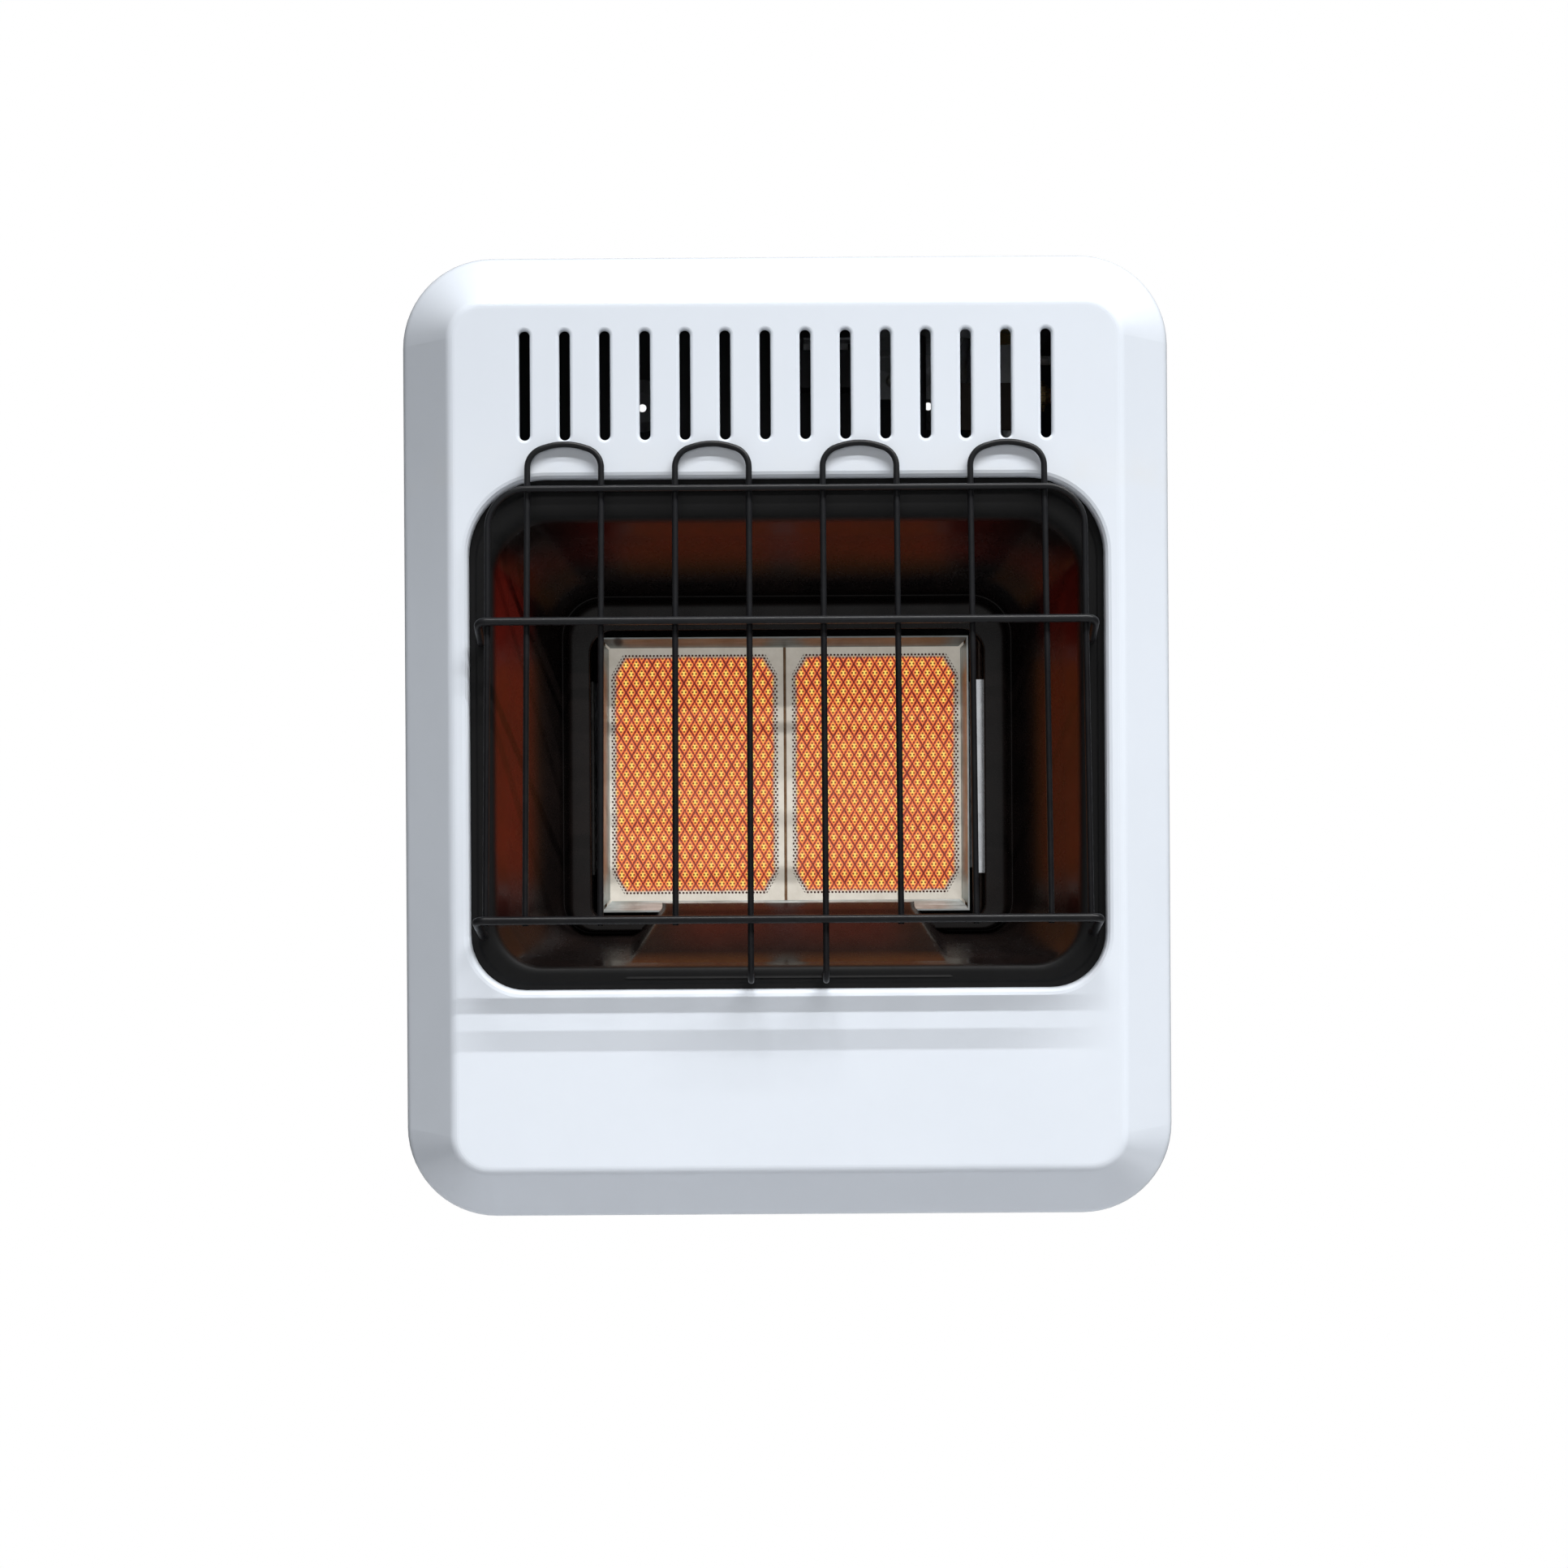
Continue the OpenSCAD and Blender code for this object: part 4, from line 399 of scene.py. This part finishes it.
def plaque(name):
    """Perforated refractory tile: hole lattice, quilted diamonds, the glow of the burning field, and painted
    light on the unlit border.
    """
    p = Paint(name)
    x, y, z = p.axes()
    u = p.math("SUBTRACT", p.away(x, BURNER_X), PLAQUE_STEP)
    v = p.math("SUBTRACT", z, BURNER_Z)
    # holes: two rectangular lattices, the second half a step across and one row up
    second = lattice(p, p.math("ADD", u, HOLE_PITCH / 2), p.math("ADD", v, HOLE_ROW))
    to_hole = p.math("MINIMUM", lattice(p, u, v), second)
    # diamonds: slanted coordinates, 0 at a groove and 1 in the middle of a diamond
    across, up = p.math("DIVIDE", u, CELL_X / 2), p.math("DIVIDE", v, CELL_Z / 2)
    slanted = [nearest(p, p.math(sign, across, up), 2.0) for sign in ("ADD", "SUBTRACT")]
    height = p.math("MINIMUM", *slanted)
    # how far inside the perforated field, with its corners cut
    side = p.math("SUBTRACT", FIELD_X, p.away(u))
    end = p.math("SUBTRACT", FIELD_Z, p.away(v))
    corner = p.math("ADD", p.math("DIVIDE", side, CORNER_X), p.math("DIVIDE", end, CORNER_Z))
    corner = p.times(p.math("SUBTRACT", corner, 1.0), CORNER_DEPTH)
    inside = p.math("MINIMUM", p.math("MINIMUM", side, end), corner)
    field = p.span(inside, -0.1, 0.4)
    patch = p.noise(16.0, 3.0, 0.6, shift=2.0)
    fade = p.math("MINIMUM", p.math("MINIMUM", side, p.math("ADD", end, 0.6)), corner)
    lit = p.span(p.math("ADD", fade, p.span(patch, 0.3, 0.7, -0.5, 0.5)), 1.3, 3.4, smooth=True)
    hole = p.times(p.span(to_hole, HOLE_CORE, HOLE_EDGE, 1.0, 0.0, smooth=True), field)
    groove = p.times(p.span(height, 0.0, 0.20, 1.0, 0.0, smooth=True), field)
    # the tile itself, and what it emits: the ramp runs from a groove to the middle of a diamond
    body = p.mix(p.span(p.noise(9.0, 4.0, 0.65), 0.35, 0.7), (0.62, 0.585, 0.525), (0.52, 0.48, 0.42))
    body = p.mix(p.times(groove, 0.5), body, (0.30, 0.20, 0.16))
    body = p.mix(hole, body, (0.030, 0.010, 0.008))
    heat = p.math("ADD", height, p.span(p.noise(5.0, 3.0, 0.6, shift=6.0), 0.3, 0.7, -0.10, 0.10))
    glow = p.ramp(heat, (0.0, (0.10, 0.007, 0.009)), (0.12, (0.46, 0.045, 0.026)),
                  (0.26, (0.88, 0.180, 0.055)), (0.46, (0.98, 0.400, 0.080)), (0.80, (1.0, 0.730, 0.150)))
    glow = p.mix(p.times(hole, 0.94), glow, (0.085, 0.008, 0.006))
    warm = p.mix(p.span(inside, 0.0, 5.0, smooth=True), (0.0, 0.0, 0.0), (0.16, 0.035, 0.025))
    glow = p.mix(lit, warm, glow)
    # painted light: the unlit border emits a pale grey as if lit by the field, with dark holes
    painted_border_light = p.mix(p.span(patch, 0.3, 0.7), (0.21, 0.195, 0.170), (0.165, 0.150, 0.125))
    painted_border_light = p.mix(hole, painted_border_light, (0.02, 0.008, 0.006))
    glowing = p.math("MAXIMUM", lit, p.times(field, p.span(inside, 0.5, 4.0)))
    glow = p.mix(glowing, painted_border_light, glow)
    body = p.mix(lit, body, (0.16, 0.07, 0.045))
    p.set(Base_Color=body, Roughness=p.span(patch, 0.3, 0.7, 0.82, 0.95), Specular_IOR_Level=0.2,
          Emission_Color=glow, Emission_Strength=1.0)
    p.bump((p.flip(hole), 0.5), (p.noise(0.7, 3.0, 0.6), 0.03))
    return p.material


def moulded(name, colour, rough, marks=None, grain=0.5):
    """Moulded plastic with a spark-eroded grain; marks paint a white pointer."""
    p = Paint(name)
    base = p.mix(p.span(p.noise(18.0, 4.0, 0.6), 0.35, 0.7), colour, tuple(c * 1.35 + 0.004 for c in colour))
    if marks is not None:
        base = p.mix(marks(p), base, (0.74, 0.74, 0.72))
    p.set(Base_Color=base, Roughness=p.uneven(5.0, 3.0, rough - 0.06, rough + 0.07),
          Specular_IOR_Level=0.5)
    p.bump((p.noise(grain, 3.0, 0.6, shift=5.0), 0.018))
    return p.material


def pointer(p):
    """A white line along the front half of the knob's top ridge."""
    x, y, z = p.axes()
    near, far = KNOB[1] - POINTER_NEAR, KNOB[1] - POINTER_FAR
    return p.times(p.span(p.away(x, KNOB[0]), 0.7, 0.9, 1.0, 0.0), p.span(y, far, far + 0.3),
                   p.span(y, near - 0.2, near, 1.0, 0.0), p.span(z, KNOB_TOP, KNOB_TOP + 0.4))


FINISHES = {
    "cover_enamel": enamel,
    "panel_paint": panel_grey,
    "firebox_paint": firebox_black,
    "guard_paint": guard_black,
    "galvanised_steel": galvanised,
    "stainless_steel": stainless,
    "plaque_ceramic": plaque,
    "ceramic_fibre": lambda n: plain(n, (0.16, 0.085, 0.045), 0.92, specular=0.1, tint=(0.26, 0.17, 0.10),
                                     tint_size=6.0, grain=0.7, depth=0.25),
    "brass": lambda n: turned(n, (0.72, 0.50, 0.20), (0.40, 0.25, 0.10)),
    "copper": lambda n: turned(n, (0.70, 0.34, 0.20), (0.30, 0.13, 0.08), rough=0.30, grain=0.5, beside_shade=0.9),
    "electrode_ceramic": lambda n: plain(n, (0.76, 0.73, 0.66), 0.16, tint=(0.62, 0.56, 0.47), tint_size=12.0,
                                         grain=3.0, depth=0.01, spread=0.04, coat=0.5),
    "cable_rubber": lambda n: plain(n, (0.016, 0.016, 0.017), 0.55, specular=0.35, tint=(0.035, 0.034, 0.033),
                                    grain=0.8, depth=0.03, dust=0.15),
    "cast_alloy": lambda n: plain(n, (0.52, 0.53, 0.54), 0.46, metal=0.85, tint=(0.40, 0.405, 0.41),
                                  tint_size=22.0, grain=0.9, depth=0.05, dust=0.1),
    "brown_paint": lambda n: plain(n, (0.050, 0.030, 0.018), 0.48, tint=(0.072, 0.045, 0.030), grain=1.6,
                                   depth=0.05),
    "plated_steel": lambda n: turned(n, (0.60, 0.60, 0.57), (0.42, 0.41, 0.36), rough=0.30),
    "spring_steel": lambda n: turned(n, (0.40, 0.40, 0.41), (0.20, 0.19, 0.18), rough=0.34, grain=0.4),
    "knob_plastic": lambda n: moulded(n, (0.014, 0.014, 0.016), 0.38, marks=pointer),
    "tray_paint": lambda n: plain(n, (0.020, 0.020, 0.022), 0.50, specular=0.4, tint=(0.028, 0.027, 0.027),
                                  grain=0.9, depth=0.06, dust=0.12),
    "igniter_plastic": lambda n: moulded(n, (0.055, 0.055, 0.062), 0.44),
    "button_plastic": lambda n: moulded(n, (0.44, 0.018, 0.013), 0.27, grain=1.4),
    "cutout_plastic": lambda n: moulded(n, (0.022, 0.022, 0.025), 0.46),
    "white_screws": lambda n: plain(n, (0.76, 0.78, 0.81), 0.26, tint=(0.70, 0.715, 0.74), tint_size=5.0,
                                    grain=1.5, depth=0.012, coat=0.3),
}

record = frame["record"]
slots = {part["node"]: part["material_slot"] for part in record["subparts"]}
materials = {slot: make(slot) for slot, make in FINISHES.items()}


def dress(piece, slot):
    piece.data.materials.clear()
    piece.data.materials.append(materials[slot])


for name, piece in frame["nodes"].items():
    dress(piece, slots[name])


def add_mesh(name, points, faces, slot, body="heater"):
    """A new piece made from points in row-frame metres, with its finish and the body that it rides."""
    mesh = bpy.data.meshes.new(name)
    mesh.from_pydata([tuple(map(float, p)) for p in points], [], faces)
    mesh.update()
    piece = bpy.data.objects.new(name, mesh)
    bpy.context.scene.collection.objects.link(piece)
    mesh.shade_smooth()
    dress(piece, slot)
    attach(piece, body)
    return piece


# ---------- firebox: the pressed pan with soft bends and the ramp drawn out of it ----------

# the pan's profile from the bezel's edge to the collar, as half width and depth, with each bend's radius
PAN = [(161.8, -161.0), (153.2, -161.0), (152.2, -161.6), (145.5, -161.6), (115.6, -106.4), (111.8, -114.0),
       (101.0, -114.0), (101.0, -104.2)]
PAN_BEND = [0.0, 0.9, 0.9, 5.5, 1.0, 3.5, 1.0, 0.0]
# the outline at six half widths: its top, its bottom and the radii of its corners
KEYS = [101.0, 111.2, 116.5, 145.5, 156.0, 162.0]
TOP = [54.5, 67.5, 73.0, 108.0, 126.4, 132.4]
LOW = [-94.5, -99.5, -101.5, -114.0, -124.4, -130.4]
TOP_R = [12.0, 18.0, 22.0, 27.0, 38.0, 44.0]
LOW_R = [8.0, 12.0, 16.0, 24.0, 27.0, 33.0]
PATH_STEP = 2.6
ARC_SHARE = 0.45            # the most of a run that one bend may take


def tube_faces(spans, around):
    """The walls of a tube whose rings of points follow each other."""
    return [(i * around + k, i * around + (k + 1) % around, (i + 1) * around + (k + 1) % around,
             (i + 1) * around + k) for i in range(spans) for k in range(around)]


def rounded_path(points, bends, step, arc=7):
    """The path with an arc in each bend and its straight runs cut into short steps."""
    points = [np.array(p, float) for p in points]
    out = [points[0]]

    def run_to(target):
        count = max(1, int(math.ceil(np.linalg.norm(target - out[-1]) / step)))
        start = out[-1]
        for i in range(1, count + 1):
            out.append(start + (target - start) * i / count)

    for before, corner, after, radius in zip(points, points[1:], points[2:], bends[1:]):
        run_in, run_out = np.linalg.norm(before - corner), np.linalg.norm(after - corner)
        a, b = (before - corner) / run_in, (after - corner) / run_out
        half = math.acos(max(-1.0, min(1.0, float(a @ b)))) / 2
        reach = min(radius / math.tan(half), ARC_SHARE * run_in, ARC_SHARE * run_out)
        start, end = corner + a * reach, corner + b * reach
        run_to(start)
        for i in range(1, arc + 1):
            t = i / arc
            out.append((1 - t) ** 2 * start + 2 * t * (1 - t) * corner + t ** 2 * end)
    run_to(points[-1])
    return out


def pan_ring(half, arc=14, sides=(74, 66)):
    """Points round the pan at one half width, starting at the right end of its top edge."""
    top, low = np.interp(half, KEYS, TOP), np.interp(half, KEYS, LOW)
    rt, rl = np.interp(half, KEYS, TOP_R), np.interp(half, KEYS, LOW_R)
    corners = [(half - rt, top - rt, rt, 90), (half - rl, low + rl, rl, 0),
               (rl - half, low + rl, rl, -90), (rt - half, top - rt, rt, 180)]
    ring = []
    for i, (cx, cz, r, start) in enumerate(corners):
        for k in range(arc + 1):
            q = math.radians(start - 90 * k / arc)
            ring.append((cx + r * math.cos(q), cz + r * math.sin(q)))
        nx, nz, nr, nq = corners[(i + 1) % 4]
        goal = np.array([nx + nr * math.cos(math.radians(nq)), nz + nr * math.sin(math.radians(nq))])
        here = np.array(ring[-1])
        count = sides[1] if i % 2 == 0 else sides[0]
        ring += [tuple(here + (goal - here) * k / count) for k in range(1, count)]
    return ring


def plane(a, b, c, out):
    """The plane through three points, moved out by the given distance: y = m x + n z + k."""
    normal = np.cross(np.subtract(b, a), np.subtract(c, a)).astype(float)
    normal /= np.linalg.norm(normal)
    if normal[1] > 0:
        normal = -normal
    k = float(normal @ np.array(a)) + out
    return lambda x, z: (k - normal[0] * x - normal[2] * z) / normal[1]


def soft_max(values, width):
    """The largest of several heights with their seams rounded over the given width."""
    result = values[0]
    for value in values[1:]:
        h = np.clip(0.5 + 0.5 * (result - value) / width, 0, 1)
        result = value * (1 - h) + result * h + width * h * (1 - h)
    return result


# the ramp's right-hand corners: at its top edge, at the fold of its front and at its foot
RAMP_TOP, RAMP_LOW, RAMP_FOOT = (61.5, -113.5, -88.5), (77.5, -143.8, -111.0), (80.0, -154.0, -118.0)
RAMP_R = 2.5                # how far its faces stand out from those corners
SIDE_SLOPE, SIDE_OUT = 3.4, 0.6                 # its steep sides, from its slanted ends
EDGE_SLOPE, EDGE_Y, EDGE_Z = 3.2, -117.2, -88.4         # its steep top edge, through one point
SEAM_R, JOIN_R = 4.0, 7.0   # how softly its faces meet each other and the pan's wall
# the mesh of the ramp, and the pan's lower wall behind it as heights and depths
PATCH_X, PATCH_LOW, PATCH_TOP = 92.5, -119.0, -86.0
PATCH_COLUMNS, PATCH_ROWS = 156, 48
WALL_Z = [-120.6, -114.0, -101.5, -99.5, -98.4, -94.6, -93.6]
WALL_Y = [-161.6, -161.6, -108.0, -108.0, -114.0, -114.0, -98.0]
SINK_FROM, SINK_OVER, SINK = 3.0, 5.0, 0.6      # beside the ramp its border dips under the wall


def mirrored(point):
    """The same point on the left."""
    return (-point[0], point[1], point[2])


def ramp_height(x, z):
    """Front of the ramp: two sloping planes, a steep top edge and steep sides along its slanted ends."""
    slope = plane(RAMP_TOP, mirrored(RAMP_TOP), RAMP_LOW, RAMP_R)(x, z)
    foot = plane(RAMP_LOW, mirrored(RAMP_LOW), RAMP_FOOT, RAMP_R)(x, z)
    half = np.interp(-z, [-RAMP_TOP[2], -RAMP_LOW[2], -RAMP_FOOT[2]],
                     [RAMP_TOP[0], RAMP_LOW[0], RAMP_FOOT[0]])
    side = slope + SIDE_SLOPE * (np.abs(x) - half - SIDE_OUT)
    edge = EDGE_Y + EDGE_SLOPE * (z - EDGE_Z)
    return soft_max([slope, foot, side, edge], SEAM_R)


def firebox_skin():
    """The pan and its ramp, as one piece."""
    path = rounded_path(PAN, PAN_BEND, PATH_STEP)
    rings = [pan_ring(p[0]) for p in path]
    per = len(rings[0])
    points = [metres(x, y, z) for ring, (_, y) in zip(rings, path) for x, z in ring]
    faces = tube_faces(len(rings) - 1, per)
    # the ramp, blended into the pan's lower wall
    gx, gz = np.meshgrid(np.linspace(-PATCH_X, PATCH_X, PATCH_COLUMNS),
                         np.linspace(PATCH_LOW, PATCH_TOP, PATCH_ROWS))
    wall = np.interp(gz, WALL_Z, WALL_Y)
    ramp = ramp_height(gx, gz)
    h = np.clip(0.5 + 0.5 * (wall - ramp) / JOIN_R, 0, 1)
    blended = wall * (1 - h) + ramp * h - JOIN_R * h * (1 - h)
    sunk = np.clip((ramp - wall - SINK_FROM) / SINK_OVER, 0, 1)
    blended = blended + SINK * sunk
    first = len(points)
    points += [metres(x, y, z) for x, y, z in zip(gx.ravel(), blended.ravel(), gz.ravel())]
    for j in range(PATCH_ROWS - 1):
        for i in range(PATCH_COLUMNS - 1):
            if sunk[j:j + 2, i:i + 2].min() < 1:
                a = first + j * PATCH_COLUMNS + i
                b = a + PATCH_COLUMNS
                faces.append((a, a + 1, b + 1, b))
    return add_mesh("firebox_pressing", points, faces, "firebox_paint")


pressing = firebox_skin()
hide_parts("firebox")


# ---------- springs: round wire in place of each spring that a joint deforms ----

# axis, radius of the coil and number of turns
SPRINGS = {"plunger_spring": (KNOB, 4.5, 7), "igniter_spring": (IGNITER, 5.0, 6)}
WIRE_R = 0.5


def coil_spring(node, steps=24, sides=10):
    """A helix of round wire with closed ends, as long as the CAD spring that it replaces."""
    (axis_x, axis_y), coil_r, turns = SPRINGS[node]
    low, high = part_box(node)
    rise = (high.z - low.z) * 1000 - 2 * WIRE_R
    count = steps * turns
    points = []
    for i in range(count + 1):
        turn = 2 * math.pi * i / steps
        for k in range(sides):
            w = 2 * math.pi * k / sides
            r = coil_r + WIRE_R * math.cos(w)
            points.append(((axis_x + r * math.cos(turn)) / 1000, (axis_y + r * math.sin(turn)) / 1000,
                           low.z + (WIRE_R + rise * i / count + WIRE_R * math.sin(w)) / 1000))
    faces = tube_faces(count, sides)
    faces += [tuple(range(sides - 1, -1, -1)), tuple(range(count * sides, (count + 1) * sides))]
    return add_mesh(node + "_wire", points, faces, slots[node])


for joint in record["behaviour"]["joints"]:
    for row in joint.get("deforming_nodes", []):
        spring = coil_spring(row["node"])
        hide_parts(row["node"])
        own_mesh(spring)


# ---------- studio ----------

def floor_finish():
    """Pale floor, lifted towards white for the camera so that only its shadows show."""
    p = Paint("studio_floor")
    ray = p.tree.nodes.new("ShaderNodeLightPath").outputs["Is Camera Ray"]
    p.set(Base_Color=(0.56, 0.57, 0.59), Roughness=0.9, Specular_IOR_Level=0.0,
          Emission_Color=(1.0, 1.0, 1.0), Emission_Strength=p.times(ray, 0.82))
    return p.material


FLOOR_Z, FLOOR_HALF = -1.45, 1.9
corners = [(x * FLOOR_HALF, y * FLOOR_HALF, FLOOR_Z) for x, y in ((-1, -1), (1, -1), (1, 1), (-1, 1))]
floor_mesh = bpy.data.meshes.new("studio_floor")
floor_mesh.from_pydata(corners, [], [(0, 1, 2, 3)])
floor = bpy.data.objects.new("studio_floor", floor_mesh)
bpy.context.scene.collection.objects.link(floor)
floor_mesh.materials.append(floor_finish())

LAMP_Y, LAMP_X = -4.0, 3.3
LAMP_LONG, LAMP_THICK = 9.5, 0.075
AIM_Y, AIM_Z = -0.17, MID_Z - 0.09          # on the cover's face, just under the opening


def strip_lamp(name, rise, watts):
    """A long level strip, parallel to the cover, whose light falls at the given rise per metre of depth."""
    data = bpy.data.lights.new(name, "AREA")
    data.shape = "RECTANGLE"
    data.size, data.size_y = LAMP_LONG, LAMP_THICK
    data.energy = watts
    holder = bpy.data.objects.new(name, data)
    holder.location = (LAMP_X, LAMP_Y, AIM_Z + rise * (AIM_Y - LAMP_Y))
    holder.rotation_euler = (math.pi / 2 - math.atan(rise), 0, 0)
    bpy.context.scene.collection.objects.link(holder)


# their rises set where the guard's bottom bar throws its two shadow lines
strip_lamp("key_low", 1.67, 720.0)
strip_lamp("key_high", 2.33, 860.0)

world = bpy.data.worlds.new("studio")
bpy.context.scene.world = world
world.use_nodes = True
tree = world.node_tree
tree.nodes.clear()


def world_node(kind, *values, operation=None):
    node = tree.nodes.new(kind)
    if operation:
        node.operation = operation
    for socket, value in zip(node.inputs, values):
        if isinstance(value, bpy.types.NodeSocket):
            tree.links.new(value, socket)
        else:
            socket.default_value = value
    return node


# white to the camera; to the object dim all round and brighter from a soft cone in front
AMBIENT, CONE, CONE_POWER = 0.115, 0.85, 12.0
way = world_node("ShaderNodeSeparateXYZ", tree.nodes.new("ShaderNodeTexCoord").outputs["Generated"])
front = world_node("ShaderNodeMath", way.outputs[1], -1.0, operation="MULTIPLY")
front = world_node("ShaderNodeMath", front.outputs[0], 0.0, operation="MAXIMUM")
front = world_node("ShaderNodeMath", front.outputs[0], CONE_POWER, operation="POWER")
front = world_node("ShaderNodeMath", front.outputs[0], CONE, operation="MULTIPLY")
around = world_node("ShaderNodeMath", front.outputs[0], AMBIENT, operation="ADD")
path = tree.nodes.new("ShaderNodeLightPath")
seen = world_node("ShaderNodeMath", path.outputs["Is Camera Ray"], path.outputs["Is Transmission Ray"],
                  operation="MAXIMUM")
level = world_node("ShaderNodeMath", around.outputs[0], seen.outputs[0], operation="MAXIMUM")
background = world_node("ShaderNodeBackground", (1, 1, 1, 1), level.outputs[0])
tree.links.new(background.outputs[0], tree.nodes.new("ShaderNodeOutputWorld").inputs["Surface"])

# the photograph's camera: square on to the cover, a hair rolled and framed slightly high
CAMERA_Y, CAMERA_ROLL = -1.268, 0.35
camera_data = bpy.data.cameras.new("camera")
camera_data.sensor_width = 36.0
camera_data.lens = 51.65
camera_data.shift_x = -0.0021
camera_data.shift_y = -0.0308
camera = bpy.data.objects.new("camera", camera_data)
camera.location = (0.0, CAMERA_Y, MID_Z)
camera.rotation_euler = (math.radians(90), math.radians(CAMERA_ROLL), 0)
bpy.context.scene.collection.objects.link(camera)
bpy.context.scene.camera = camera
bpy.context.scene.view_settings.view_transform = "Standard"
